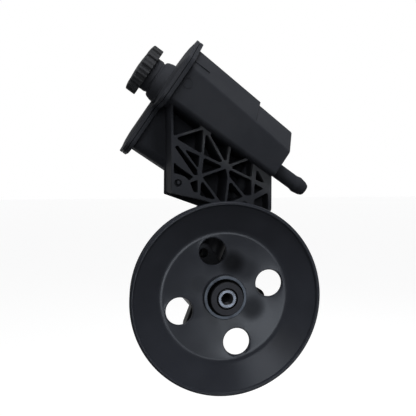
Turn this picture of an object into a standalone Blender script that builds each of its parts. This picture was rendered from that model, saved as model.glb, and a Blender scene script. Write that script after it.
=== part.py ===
"""Power steering pump with a pressed pulley and a moulded reservoir.

Everything is in metres. The shaft runs along Y with the pulley towards -Y, and the origin lies on
the shaft axis in the plane of the front mounting ears. Z is up as the pump hangs here: on the
engine it is turned until the filler cap points up.
"""
import math

import bmesh
import bpy
from mathutils import Matrix, Vector

# Gap left between two pieces that seat on each other
SEAT = 0.0003

# Pulley, measured from the front face of its web
PULLEY_OFFSET = 0.0270
PULLEY_RADIUS = 0.0804
SHEET = 0.0026
WEB_RADIUS = 0.0532
DISH_DEPTH = 0.0117
LIP_RADIUS = 0.0018
BELT_RADIUS = 0.0774
GROOVE_COUNT = 5
GROOVE_PITCH = 0.00356
GROOVE_DEPTH = 0.0028
REAR_FLANGE_RADIUS = 0.0784
RIM_WALL = 0.0024
ACCESS_HOLE_COUNT = 4
ACCESS_HOLE_RADIUS = 0.0113
ACCESS_HOLE_CIRCLE = 0.0397
ACCESS_HOLE_TURN = math.radians(15.0)

# Hub and shaft
HUB_RADIUS = 0.0139
HUB_NOSE = 0.0089
HUB_HEAD = 0.0035
HUB_GROOVE_RADIUS = 0.0119
HUB_RECESS = 0.0016
COLLAR_RADIUS = 0.0185
COLLAR_BORE = 0.0154
COLLAR_HEIGHT = 0.0030
HUB_BARREL_RADIUS = 0.0150
HUB_BARREL = 0.0130
SHAFT_RADIUS = 0.0085
SHAFT_TIP_CHAMFER = 0.0008
JOURNAL_RADIUS = 0.0080
JACK_HOLE_RADIUS = 0.0043
JACK_HOLE_DEPTH = 0.0240
SPLINE_TEETH = 14
SPLINE_ROOT = 0.0064
SPLINE_HEIGHT = 0.0007
TAIL_RADIUS = 0.0062

# Pump housing
BODY_RADIUS = 0.0265
NOSE_RADIUS = 0.0170
NOSE_LENGTH = 0.0090
SEAL_RADIUS = 0.0137
SEAL_WIDTH = 0.0062
BUSH_RADIUS = 0.0102
BUSH_LENGTH = 0.0230
PUMP_BORE = 0.0234
BORE_FLOOR = 0.0260
REAR_RIM = 0.0030
EAR_ANGLES = tuple(math.radians(angle) for angle in (-12.0, 110.0, 236.0))
EAR_CIRCLE = 0.0360
EAR_RADIUS = 0.0086
EAR_THICKNESS = 0.0120
EAR_HOLE = 0.0042

# Rotating group and the stack behind it
RING_WIDTH = 0.0140
CAM_MINOR = 0.0183
CAM_RISE = 0.0020
PLATE_THICKNESS = 0.0055
SPRING_ROOM = 0.0031
SPRING_SHEET = 0.0009
END_PLATE_THICKNESS = 0.0060
SNAP_RING = 0.0015
SNAP_RING_GRIP = 0.0013
ROTOR_RING = 0.0009
VANE_COUNT = 10
VANE_THICKNESS = 0.0014
VANE_HEIGHT = 0.0056
SLOT_EYE_RADIUS = 0.0016
SLOT_EYE_CIRCLE = 0.0110
PORT_RADIUS = 0.0166
PORT_WIDTH = 0.0030
PORT_SPAN = math.radians(42.0)
PIN_RADIUS = 0.0012
PIN_CIRCLE = 0.0208

# Flow control valve, in its own upright boss
VALVE_X = 0.0330
VALVE_Y = 0.0435
VALVE_BOSS_RADIUS = 0.0105
VALVE_BOSS_TOP = 0.0380
VALVE_FLOOR = -0.0180
VALVE_BOSS_WALL = 0.0060
SPOOL_RADIUS = 0.0062
SPOOL_LENGTH = 0.0220
SPRING_RADIUS = 0.0044
SPRING_WIRE = 0.0006
SPRING_LENGTH = 0.0150
SPRING_TURNS = 6
FITTING_THREAD = 0.0079
FITTING_THREAD_LENGTH = 0.0120
FITTING_HEX = 0.0190
FITTING_HEX_HEIGHT = 0.0080
FITTING_BORE = 0.0040
FITTING_TOP = 0.0070

# Reservoir, in a frame that leans so that its own z axis points out of the filler neck
TANK_LEAN = math.radians(55.5)
TANK_WALL = 0.0030
TANK_FRONT_Y = -0.0180
TANK_BACK_Y = 0.0580
TANK_TOP = 0.1300
TANK_STEP = 0.0593
TANK_STEP_DEPTH = 0.0030
TANK_BOTTOM = 0.0189
SHELF_S = 0.1094
SHELF_TAPER = 0.0006
FACE_S = 0.1430
FACE_TAPER = 0.0086
NOSE_S = 0.1666
NOSE_TAPER = 0.0062
NOSE_HALF_WIDTH = 0.0070
WING_S = 0.0642
WING_TAPER = 0.0015
WING_FRONT_Y = 0.0220
WING_BOTTOM = 0.0620
FLANGE_LIP = 0.0060
WING_LIP = 0.0072
FLANGE_THICKNESS = 0.0035
COVER_RIM = 0.0029
COVER_CROWN = 0.0020

# Filler neck, cap and dipstick, on the neck's own axis
NECK_S = 0.1249
NECK_Y = 0.0200
NECK_RADIUS = 0.0153
NECK_BORE = 0.0125
NECK_COLLAR = 0.0188
NECK_LENGTH = 0.0240
NECK_SHOULDER = 0.0082
CAP_RADIUS = 0.0225
CAP_HEIGHT = 0.0116
CAP_ROOF = 0.0053
CAP_CROWN = 0.0025
CAP_LOBES = 16
CAP_GRIP_DEPTH = 0.0016
CAP_PLUG = 0.0118
CAP_PLUG_DEPTH = 0.0130
CAP_SEAL_WIRE = 0.0011
DIPSTICK_RADIUS = 0.0020
DIPSTICK_HEAD = 0.0032
DIPSTICK_LENGTH = 0.0800

# Return hose barb and suction nozzle
BARB_S = 0.1221
BARB_RADIUS = 0.0069
BARB_BORE = 0.0046
BARB_BEAD = 0.0008
BARB_LENGTH = 0.0424
NOZZLE_LEAN = math.radians(24.0)
NOZZLE_X = 0.0078
NOZZLE_Y = 0.0130
NOZZLE_Z = 0.0534
NOZZLE_RADIUS = 0.0050
NOZZLE_BORE = 0.0027
NOZZLE_LENGTH = 0.0640
INLET_BOSS_RADIUS = 0.0085
INLET_DEPTH = 0.0120
O_RING_WIRE = 0.0009

# Truss bracket that carries the reservoir on the pump
TRUSS_FRONT_Y = -0.0090
TRUSS_FLOOR_Y = 0.0224
TRUSS_FLOOR = 0.0028
TRUSS_WALL = 0.0026
RIB = 0.0024
RIB_FILLET = 0.0012
PANEL_FLOOR_Y = 0.0070
BRACKET_SCREW_HOLE = 0.0027
BRACKET_SCREW_DEPTH = 0.0140
LUG_THICKNESS = 0.0080
BOLT_RADIUS = 0.0028
BOLT_HEAD_ACROSS = 0.0100
BOLT_HEAD_HEIGHT = 0.0040
BOLT_LENGTH = 0.0110
BOLT_PLACES = ((-0.0178, 0.0470), (0.0270, 0.0470))
BOLT_CLEARANCE = 0.0008

# Corners of the truss in X and Z: where ribs meet each other, the walls and the tank
NODE = {
    "wall_top": (-0.0410, 0.1640),
    "wall_mid": (-0.0410, 0.1330),
    "shelf_left": (-0.0129, 0.1419),
    "fork": (-0.0149, 0.1180),
    "crossing": (0.0062, 0.1085),
    "crossing_low": (0.0080, 0.0992),
    "knot": (-0.0169, 0.1005),
    "shelf_mid": (0.0096, 0.1290),
    "shelf_right": (0.0272, 0.1166),
    "shelf_end": (0.0309, 0.1130),
    "right_knot": (0.0292, 0.0978),
    "right_wall": (0.0425, 0.0905),
    "foot_right": (0.0293, 0.0827),
    "foot_mid": (0.0227, 0.0823),
    "foot_centre": (0.0051, 0.0768),
    "foot_left": (0.0004, 0.0776),
    "foot_corner": (-0.0183, 0.0834),
    "foot_edge": (0.0100, 0.0765),
}
POCKETS = (
    ("wall_top", "wall_mid", "shelf_left"),
    ("wall_mid", "fork", "shelf_left"),
    ("shelf_left", "fork", "crossing"),
    ("fork", "knot", "crossing"),
    ("shelf_left", "crossing", "shelf_mid"),
    ("shelf_mid", "crossing", "shelf_right"),
    ("crossing", "right_knot", "shelf_end", "shelf_right"),
    ("crossing", "crossing_low", "foot_mid", "foot_right", "right_knot"),
    ("crossing_low", "foot_centre", "foot_edge", "foot_mid"),
    ("knot", "foot_left", "foot_centre", "crossing_low", "crossing"),
    ("knot", "foot_corner", "foot_left"),
)
# Pockets whose sides aren't rib centre lines, already at their open size
OPEN_POCKETS = (
    ((-0.0310, 0.1238), (-0.0187, 0.1068), (-0.0177, 0.1178)),
    ((-0.0391, 0.1256), (-0.0224, 0.1017), (-0.0194, 0.1011), (-0.0196, 0.1059), (-0.0362, 0.1264)),
    ((-0.0397, 0.1122), (-0.0397, 0.1055), (-0.0357, 0.1044), (-0.0293, 0.1013), (-0.0263, 0.0975),
     (-0.0229, 0.1000), (-0.0362, 0.1092)),
    ((-0.0259, 0.0953), (-0.0229, 0.0877), (-0.0193, 0.0860), (-0.0193, 0.0975)),
    ((0.0330, 0.1075), (0.0322, 0.0976), (0.0404, 0.0942)),
    ((0.0311, 0.0944), (0.0309, 0.0846), (0.0394, 0.0899)),
    ((0.0167, 0.0771), (0.0261, 0.0749), (0.0248, 0.0775), (0.0221, 0.0790)),
)
PANEL = ((0.0311, 0.0805), (0.0302, 0.0720), (0.0436, 0.0710), (0.0433, 0.0864))
TRUSS_OUTLINE = (
    (-0.0420, 0.0866), (-0.0190, 0.0814), (0.0020, 0.0752), (0.0240, 0.0705), (0.0467, 0.0680),
    (0.0467, 0.1030), (-0.0420, 0.1660),
)
TONGUE_LEFT = BOLT_PLACES[0][0] - BOLT_HEAD_ACROSS / 2.0 - BOLT_CLEARANCE - TRUSS_WALL
TONGUE_RIGHT = BOLT_PLACES[1][0] + BOLT_HEAD_ACROSS / 2.0 + BOLT_CLEARANCE + TRUSS_WALL
TONGUE_FOOT = BOLT_PLACES[0][1] - BOLT_HEAD_ACROSS / 2.0 - 2.0 * BOLT_CLEARANCE - TRUSS_WALL
BACK_OUTLINE = (
    (-0.0434, 0.0850), (-0.0128, 0.0740), (TONGUE_LEFT, 0.0640), (TONGUE_LEFT, TONGUE_FOOT),
    (TONGUE_RIGHT, TONGUE_FOOT), (TONGUE_RIGHT, 0.0640), (0.0465, 0.0690), (0.0465, 0.1025),
    (-0.0426, 0.1655),
)
BRACKET_SCREW = (-0.0362, 0.0949)

# Stations along the shaft, worked out from the sizes above
WEB_Y = -PULLEY_OFFSET
HUB_TIP_Y = WEB_Y - HUB_NOSE
HUB_BACK_Y = WEB_Y + SHEET + HUB_BARREL
NOSE_Y = -NOSE_LENGTH
SEAL_FLOOR_Y = NOSE_Y + SEAL_WIDTH + SEAT
FRONT_PLATE_Y = BORE_FLOOR + SEAT
RING_Y = FRONT_PLATE_Y + PLATE_THICKNESS + SEAT
REAR_PLATE_Y = RING_Y + RING_WIDTH + SEAT
SPRING_Y = REAR_PLATE_Y + PLATE_THICKNESS
END_PLATE_Y = SPRING_Y + SPRING_ROOM
SNAP_RING_Y = END_PLATE_Y + END_PLATE_THICKNESS + SEAT
BODY_END_Y = SNAP_RING_Y + SNAP_RING + REAR_RIM
ROTOR_Y = RING_Y + SEAT
ROTOR_END_Y = RING_Y + RING_WIDTH - SEAT
STACK_RADIUS = PUMP_BORE - SEAT
ROTOR_RADIUS = CAM_MINOR - SEAT
LUG_Y = TRUSS_FLOOR_Y + TRUSS_FLOOR + SEAT
# Cutters reach this far past the face they open, and are turned so that no edge meets another
MOUTH = 0.0010
SEAM_TURN = math.radians(3.1)

FINISHES = {
    "painted_steel": ((0.020, 0.022, 0.027), 0.42, 0.3),
    "hub_steel": ((0.060, 0.063, 0.070), 0.40, 0.8),
    "shaft_steel": ((0.560, 0.570, 0.580), 0.25, 1.0),
    "bright_steel": ((0.420, 0.430, 0.440), 0.30, 1.0),
    "sintered_iron": ((0.200, 0.200, 0.210), 0.50, 0.9),
    "spring_steel": ((0.300, 0.310, 0.330), 0.35, 1.0),
    "cast_aluminium": ((0.048, 0.050, 0.054), 0.55, 0.6),
    "bronze": ((0.420, 0.270, 0.120), 0.40, 1.0),
    "rubber": ((0.012, 0.012, 0.013), 0.80, 0.0),
    "black_nylon": ((0.018, 0.019, 0.023), 0.45, 0.0),
    "cap_nylon": ((0.016, 0.016, 0.018), 0.50, 0.0),
}


def material(finish):
    """Return the named finish as a material, made the first time it is asked for."""
    found = bpy.data.materials.get(finish)
    if found:
        return found
    colour, roughness, metallic = FINISHES[finish]
    made = bpy.data.materials.new(finish)
    made.use_nodes = True
    shader = made.node_tree.nodes["Principled BSDF"]
    shader.inputs["Base Color"].default_value = (*colour, 1.0)
    shader.inputs["Roughness"].default_value = roughness
    shader.inputs["Metallic"].default_value = metallic
    return made


def circle(radius, count, centre=(0.0, 0.0)):
    """Points round a circle, anticlockwise."""
    angles = [2.0 * math.pi * index / count for index in range(count)]
    return [(centre[0] + radius * math.cos(a), centre[1] + radius * math.sin(a)) for a in angles]


def hexagon(across, centre=(0.0, 0.0)):
    """A hexagon from its size across flats."""
    return circle(across / math.sqrt(3.0), 6, centre)


def turn(points, angle):
    """Turn flat points about the origin."""
    cosine, sine = math.cos(angle), math.sin(angle)
    return [(x * cosine - y * sine, x * sine + y * cosine) for x, y in points]


def anticlockwise(outline):
    """The same outline, running anticlockwise."""
    pairs = zip(outline, [*outline[1:], outline[0]])
    area = sum(a[0] * b[1] - b[0] * a[1] for a, b in pairs)
    return list(outline) if area > 0.0 else list(reversed(outline))


def offset(outline, distance):
    """Move every side of an anticlockwise outline outwards by distance."""
    count = len(outline)
    moved = []
    for index in range(count):
        here = Vector(outline[index])
        before = (here - Vector(outline[index - 1])).normalized()
        after = (Vector(outline[(index + 1) % count]) - here).normalized()
        normal = Vector((before.y, -before.x)) + Vector((after.y, -after.x))
        reach = distance * 2.0 / normal.length_squared
        moved.append(tuple(here + normal * reach))
    return moved


def rounded(outline, radii, steps=3):
    """Round the corners of an outline. radii is one radius or one for each corner."""
    count = len(outline)
    points = []
    for index in range(count):
        radius = radii if isinstance(radii, float) else radii[index]
        corner = Vector(outline[index])
        back = Vector(outline[index - 1]) - corner
        ahead = Vector(outline[(index + 1) % count]) - corner
        half = back.angle(ahead) / 2.0
        reach = min(radius / math.tan(half), 0.45 * back.length, 0.45 * ahead.length)
        if reach <= 0.0:
            points.append(tuple(corner))
            continue
        radius = reach * math.tan(half)
        centre = corner + (back.normalized() + ahead.normalized()).normalized() * radius / math.sin(half)
        spoke = corner + back.normalized() * reach - centre
        sweep = (math.pi - 2.0 * half) * (-1.0 if back.cross(ahead) > 0.0 else 1.0)
        for step in range(steps + 1):
            turned_spoke = Matrix.Rotation(sweep * step / steps, 2) @ spoke
            points.append(tuple(centre + turned_spoke))
    return points


def hull_lug(centre_distance, end_radius, root_radius, angle, steps=6):
    """Outline of an ear: a round end tangent to a larger round root at the origin."""
    lean = math.asin((root_radius - end_radius) / centre_distance)
    first = math.pi / 2.0 - lean
    end = [(centre_distance + end_radius * math.cos(a), end_radius * math.sin(a))
           for a in (first * (1.0 - 2.0 * step / steps) for step in range(steps + 1))]
    root = [(root_radius * math.cos(a), root_radius * math.sin(a)) for a in (-first, first)]
    return turn(anticlockwise([*end, root[0], (0.0, 0.0), root[1]]), angle)


def arc_band(inner, outer, start, span, steps=4):
    """Outline of a curved slot between two radii."""
    angles = [start + span * step / steps for step in range(steps + 1)]
    outside = [(outer * math.cos(a), outer * math.sin(a)) for a in angles]
    inside = [(inner * math.cos(a), inner * math.sin(a)) for a in reversed(angles)]
    return outside + inside


def toothed(root, height, teeth):
    """Outline of a straight-sided spline."""
    pitch = 2.0 * math.pi / teeth
    points = []
    for tooth in range(teeth):
        for share, radius in ((0.05, root), (0.30, root + height), (0.55, root + height), (0.80, root)):
            angle = pitch * (tooth + share)
            points.append((radius * math.cos(angle), radius * math.sin(angle)))
    return points


def place(point, plane, level):
    """Lift a flat point into space: plane XZ stands across the shaft, plane XY across local Z."""
    if plane == "XZ":
        return Vector((point[0], level, point[1]))
    return Vector((point[0], point[1], level))


def add_prism(bm, outline, low, high, plane="XZ", top_outline=None):
    """Add a closed prism, or a loft if the far end has its own outline."""
    near = [bm.verts.new(place(point, plane, low)) for point in outline]
    far = [bm.verts.new(place(point, plane, high)) for point in (top_outline or outline)]
    bm.faces.new(near)
    bm.faces.new(far)
    for index in range(len(near)):
        following = (index + 1) % len(near)
        bm.faces.new((near[index], near[following], far[following], far[index]))


def prism(outline, low, high, plane="XZ", top_outline=None):
    """A new mesh that holds one prism."""
    bm = bmesh.new()
    add_prism(bm, outline, low, high, plane, top_outline)
    return bm


def prisms(outlines, low, high, plane="XZ"):
    """A new mesh that holds several separate prisms."""
    bm = bmesh.new()
    for outline in outlines:
        add_prism(bm, outline, low, high, plane)
    return bm


def loft(sections):
    """Skin a stack of outlines, each given with its height, in the local XY plane."""
    bm = bmesh.new()
    rings = [[bm.verts.new(place(point, "XY", height)) for point in outline]
             for height, outline in sections]
    bm.faces.new(rings[0])
    bm.faces.new(rings[-1])
    for lower, upper in zip(rings, rings[1:]):
        for index in range(len(lower)):
            following = (index + 1) % len(lower)
            bm.faces.new((lower[index], lower[following], upper[following], upper[index]))
    return bm


def turned(profile, steps=32, axis="Y", seam=0.0):
    """Spin a profile of radius and station about Y or Z. It is closed, or ends flat on the axis."""
    bm = bmesh.new()
    along = Vector((0.0, 1.0, 0.0)) if axis == "Y" else Vector((0.0, 0.0, 1.0))
    out = Matrix.Rotation(seam, 3, along) @ Vector((1.0, 0.0, 0.0))
    points = list(profile)
    closed = points[0][0] > 0.0 or points[-1][0] > 0.0
    if not closed and points[0][1] == points[1][1]:
        del points[0]
    if not closed and points[-1][1] == points[-2][1]:
        del points[-1]
    verts = [bm.verts.new(out * radius + along * station) for radius, station in points]
    edges = [bm.edges.new((near, far)) for near, far in zip(verts, verts[1:])]
    if closed:
        edges.append(bm.edges.new((verts[-1], verts[0])))
    bmesh.ops.spin(bm, geom=verts + edges, cent=(0.0, 0.0, 0.0), axis=along, dvec=(0.0, 0.0, 0.0),
                   angle=2.0 * math.pi, steps=steps, use_merge=True, use_duplicate=False)
    bmesh.ops.remove_doubles(bm, verts=bm.verts, dist=1e-6)
    bmesh.ops.holes_fill(bm, edges=[edge for edge in bm.edges if edge.is_boundary], sides=0)
    return bm


def ring_profile(radius, wire, station, count=6):
    """Round section of an O-ring."""
    return [(radius + x, station + y) for x, y in circle(wire, count)]


def add_object(name, bm, finish=None, parent=None):
    """Turn a mesh under construction into an object of the model."""
    bmesh.ops.recalc_face_normals(bm, faces=bm.faces)
    mesh = bpy.data.meshes.new(name)
    bm.to_mesh(mesh)
    bm.free()
    made = bpy.data.objects.new(name, mesh)
    bpy.context.scene.collection.objects.link(made)
    made.parent = parent
    if finish:
        mesh.materials.append(material(finish))
        mesh.shade_smooth()
        mesh.set_sharp_from_angle(angle=math.radians(32.0))
    return made


def guide(name, bm, parent=None):
    """A shape that only cuts or joins others."""
    made = add_object(name, bm, parent=parent)
    made.hide_render = True
    made.display_type = "WIRE"
    return made


def combine(target, operation, *tools):
    """Cut the tools from the target, or join them to it, all at once."""
    group = bpy.data.collections.new("%s_%s" % (target.name, operation.lower()))
    for tool in tools:
        group.objects.link(tool)
    modifier = target.modifiers.new(group.name, "BOOLEAN")
    modifier.operation = operation
    modifier.solver = "EXACT"
    modifier.operand_type = "COLLECTION"
    modifier.collection = group


def cut(target, *tools):
    """Cut the tools from the target."""
    combine(target, "DIFFERENCE", *tools)


def join(target, *tools):
    """Join the tools to the target."""
    combine(target, "UNION", *tools)


def frame(name, location=(0.0, 0.0, 0.0), lean=0.0, parent=None):
    """An empty that carries a group, leaning about Y."""
    made = bpy.data.objects.new(name, None)
    bpy.context.scene.collection.objects.link(made)
    made.location = location
    made.rotation_euler = (0.0, lean, 0.0)
    made.parent = parent
    return made


def build_pulley():
    """Pressed sheave with poly-V grooves, and the hub welded into its web."""
    lip_y = WEB_Y - DISH_DEPTH
    slope = (DISH_DEPTH - LIP_RADIUS) / (PULLEY_RADIUS - 2.0 * LIP_RADIUS - WEB_RADIUS)
    wall_lean = math.atan(slope)
    dish_end = PULLEY_RADIUS - 2.0 * LIP_RADIUS
    profile = [(COLLAR_BORE + SEAT, WEB_Y), (WEB_RADIUS - 0.0010, WEB_Y)]
    profile += [(WEB_RADIUS + 0.0012, WEB_Y - 0.0006), (dish_end, lip_y + LIP_RADIUS)]
    lip_centre = (PULLEY_RADIUS - LIP_RADIUS, lip_y + LIP_RADIUS)
    for step in range(1, 5):
        angle = math.pi - step * math.pi / 4.0
        profile.append((lip_centre[0] + LIP_RADIUS * math.cos(angle),
                        lip_centre[1] - LIP_RADIUS * math.sin(angle)))
    first = lip_y + LIP_RADIUS + 0.0012
    for groove in range(GROOVE_COUNT):
        centre = first + GROOVE_PITCH * (groove + 0.5)
        profile += [(BELT_RADIUS, centre - 0.42 * GROOVE_PITCH),
                    (BELT_RADIUS - GROOVE_DEPTH, centre - 0.12 * GROOVE_PITCH),
                    (BELT_RADIUS - GROOVE_DEPTH, centre + 0.12 * GROOVE_PITCH),
                    (BELT_RADIUS, centre + 0.42 * GROOVE_PITCH)]
    last = first + GROOVE_PITCH * GROOVE_COUNT
    inner = BELT_RADIUS - GROOVE_DEPTH - RIM_WALL
    profile += [(REAR_FLANGE_RADIUS, last + 0.0004), (REAR_FLANGE_RADIUS, last + 0.0016)]
    profile += [(inner + 0.0010, last + 0.0024), (inner, last + 0.0012)]
    back_of_dish = SHEET / math.cos(wall_lean)
    profile.append((inner, WEB_Y - (inner - WEB_RADIUS) * slope + back_of_dish))
    profile += [(WEB_RADIUS + 0.0022, WEB_Y + SHEET - 0.0006), (WEB_RADIUS, WEB_Y + SHEET)]
    profile.append((COLLAR_BORE + SEAT, WEB_Y + SHEET))
    sheave = add_object("pulley_sheave", turned(profile, 32), "painted_steel")
    first_hole = turn([(ACCESS_HOLE_CIRCLE, 0.0)], ACCESS_HOLE_TURN)[0]
    pitch = 2.0 * math.pi / ACCESS_HOLE_COUNT
    centres = [turn([first_hole], index * pitch)[0] for index in range(ACCESS_HOLE_COUNT)]
    holes = [circle(ACCESS_HOLE_RADIUS, 16, centre) for centre in centres]
    cut(sheave, guide("access_holes", prisms(holes, WEB_Y - MOUTH, WEB_Y + SHEET + MOUTH)))

    bore = SHAFT_RADIUS + SEAT
    seat_y = WEB_Y - SEAT
    collar_y = seat_y - COLLAR_HEIGHT
    recess_y = seat_y - HUB_RECESS
    head_y = HUB_TIP_Y + HUB_HEAD
    profile = [(bore, HUB_TIP_Y), (HUB_RADIUS - 0.0005, HUB_TIP_Y), (HUB_RADIUS, HUB_TIP_Y + 0.0005),
               (HUB_RADIUS, head_y), (HUB_GROOVE_RADIUS, head_y + 0.0004), (HUB_GROOVE_RADIUS, recess_y),
               (COLLAR_BORE, recess_y), (COLLAR_BORE, collar_y + 0.0004),
               (COLLAR_BORE + 0.0004, collar_y),
               (COLLAR_RADIUS - 0.0006, collar_y), (COLLAR_RADIUS, collar_y + 0.0006),
               (COLLAR_RADIUS, seat_y),
               (HUB_BARREL_RADIUS, seat_y), (HUB_BARREL_RADIUS, HUB_BACK_Y - 0.0008),
               (HUB_BARREL_RADIUS - 0.0008, HUB_BACK_Y), (bore, HUB_BACK_Y)]
    add_object("pulley_hub", turned(profile, 24), "hub_steel")


def build_shaft():
    """Drive shaft with its jacking hole, journals, spline and ring groove."""
    tip = HUB_TIP_Y + 0.0002
    shoulder = HUB_BACK_Y + SEAT
    spline_start = FRONT_PLATE_Y + PLATE_THICKNESS * 0.5
    groove_y = ROTOR_END_Y + 0.0005
    groove_end = groove_y + ROTOR_RING + 2.0 * SEAT
    groove_root = TAIL_RADIUS - 0.0010
    end = groove_end + 0.0022
    hole_end = tip + JACK_HOLE_DEPTH
    profile = [(0.0, hole_end + 0.0025), (JACK_HOLE_RADIUS, hole_end), (JACK_HOLE_RADIUS, tip + 0.0007),
               (JACK_HOLE_RADIUS + 0.0007, tip), (SHAFT_RADIUS - SHAFT_TIP_CHAMFER, tip),
               (SHAFT_RADIUS, tip + SHAFT_TIP_CHAMFER), (SHAFT_RADIUS, shoulder),
               (JOURNAL_RADIUS, shoulder + 0.0005), (JOURNAL_RADIUS, spline_start),
               (SPLINE_ROOT, spline_start + 0.0008),
               (SPLINE_ROOT, groove_y - 0.0001), (groove_root, groove_y), (groove_root, groove_end),
               (TAIL_RADIUS, groove_end), (TAIL_RADIUS, end - 0.0006), (TAIL_RADIUS - 0.0006, end),
               (0.0, end)]
    shaft = add_object("drive_shaft", turned(profile, 20), "shaft_steel")
    teeth = toothed(SPLINE_ROOT - 0.0002, SPLINE_HEIGHT + 0.0002, SPLINE_TEETH)
    join(shaft, guide("shaft_spline", prism(teeth, spline_start + 0.0004, groove_y - 0.0002)))

    clip_inner = groove_root + SEAT
    clip = arc_band(clip_inner, SPLINE_ROOT + SPLINE_HEIGHT + 0.0012, math.radians(25.0),
                    math.radians(310.0), 16)
    add_object("rotor_retaining_ring", prism(clip, groove_y + SEAT, groove_y + SEAT + ROTOR_RING),
               "spring_steel")


def rotor_outline():
    """Rotor with a keyhole slot for each vane."""
    half = VANE_THICKNESS / 2.0 + SEAT
    mouth = math.sqrt(ROTOR_RADIUS ** 2 - half ** 2)
    eye_start = math.asin(half / SLOT_EYE_RADIUS)
    eye_steps = 6
    slot = [(mouth, -half)]
    for step in range(eye_steps + 1):
        angle = -eye_start - (2.0 * math.pi - 2.0 * eye_start) * step / eye_steps
        slot.append((SLOT_EYE_CIRCLE + SLOT_EYE_RADIUS * math.cos(angle),
                     SLOT_EYE_RADIUS * math.sin(angle)))
    slot.append((mouth, half))
    pitch = 2.0 * math.pi / VANE_COUNT
    crown = [(ROTOR_RADIUS * math.cos(share * pitch),
              ROTOR_RADIUS * math.sin(share * pitch)) for share in (0.33, 0.67)]
    points = []
    for index in range(VANE_COUNT):
        points += turn(slot + crown, index * pitch)
    return points


def build_rotating_group():
    """Rotor and its vanes, drawn in to the smallest radius of the cam ring."""
    rotor = add_object("rotor", prism(rotor_outline(), ROTOR_Y, ROTOR_END_Y), "sintered_iron")
    bore = toothed(SPLINE_ROOT + SEAT, SPLINE_HEIGHT, SPLINE_TEETH)
    cut(rotor, guide("rotor_spline", prism(bore, ROTOR_Y - MOUTH, ROTOR_END_Y + MOUTH)))
    tip = ROTOR_RADIUS - 0.0001
    foot = tip - VANE_HEIGHT
    half = VANE_THICKNESS / 2.0
    outline = [(foot, -half), (tip - 0.0005, -half), (tip, -half * 0.4), (tip, half * 0.4),
               (tip - 0.0005, half), (foot, half)]
    pitch = 2.0 * math.pi / VANE_COUNT
    first = add_object("vane_01", prism(outline, ROTOR_Y, ROTOR_END_Y), "bright_steel")
    for index in range(1, VANE_COUNT):
        vane = bpy.data.objects.new("vane_%02d" % (index + 1), first.data)
        bpy.context.scene.collection.objects.link(vane)
        vane.rotation_euler = (0.0, -index * pitch, 0.0)


def cam_radius(angle):
    """Bore of the cam ring: two rises and two falls in a turn."""
    return CAM_MINOR + CAM_RISE * 0.5 * (1.0 + math.cos(2.0 * angle))


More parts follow.
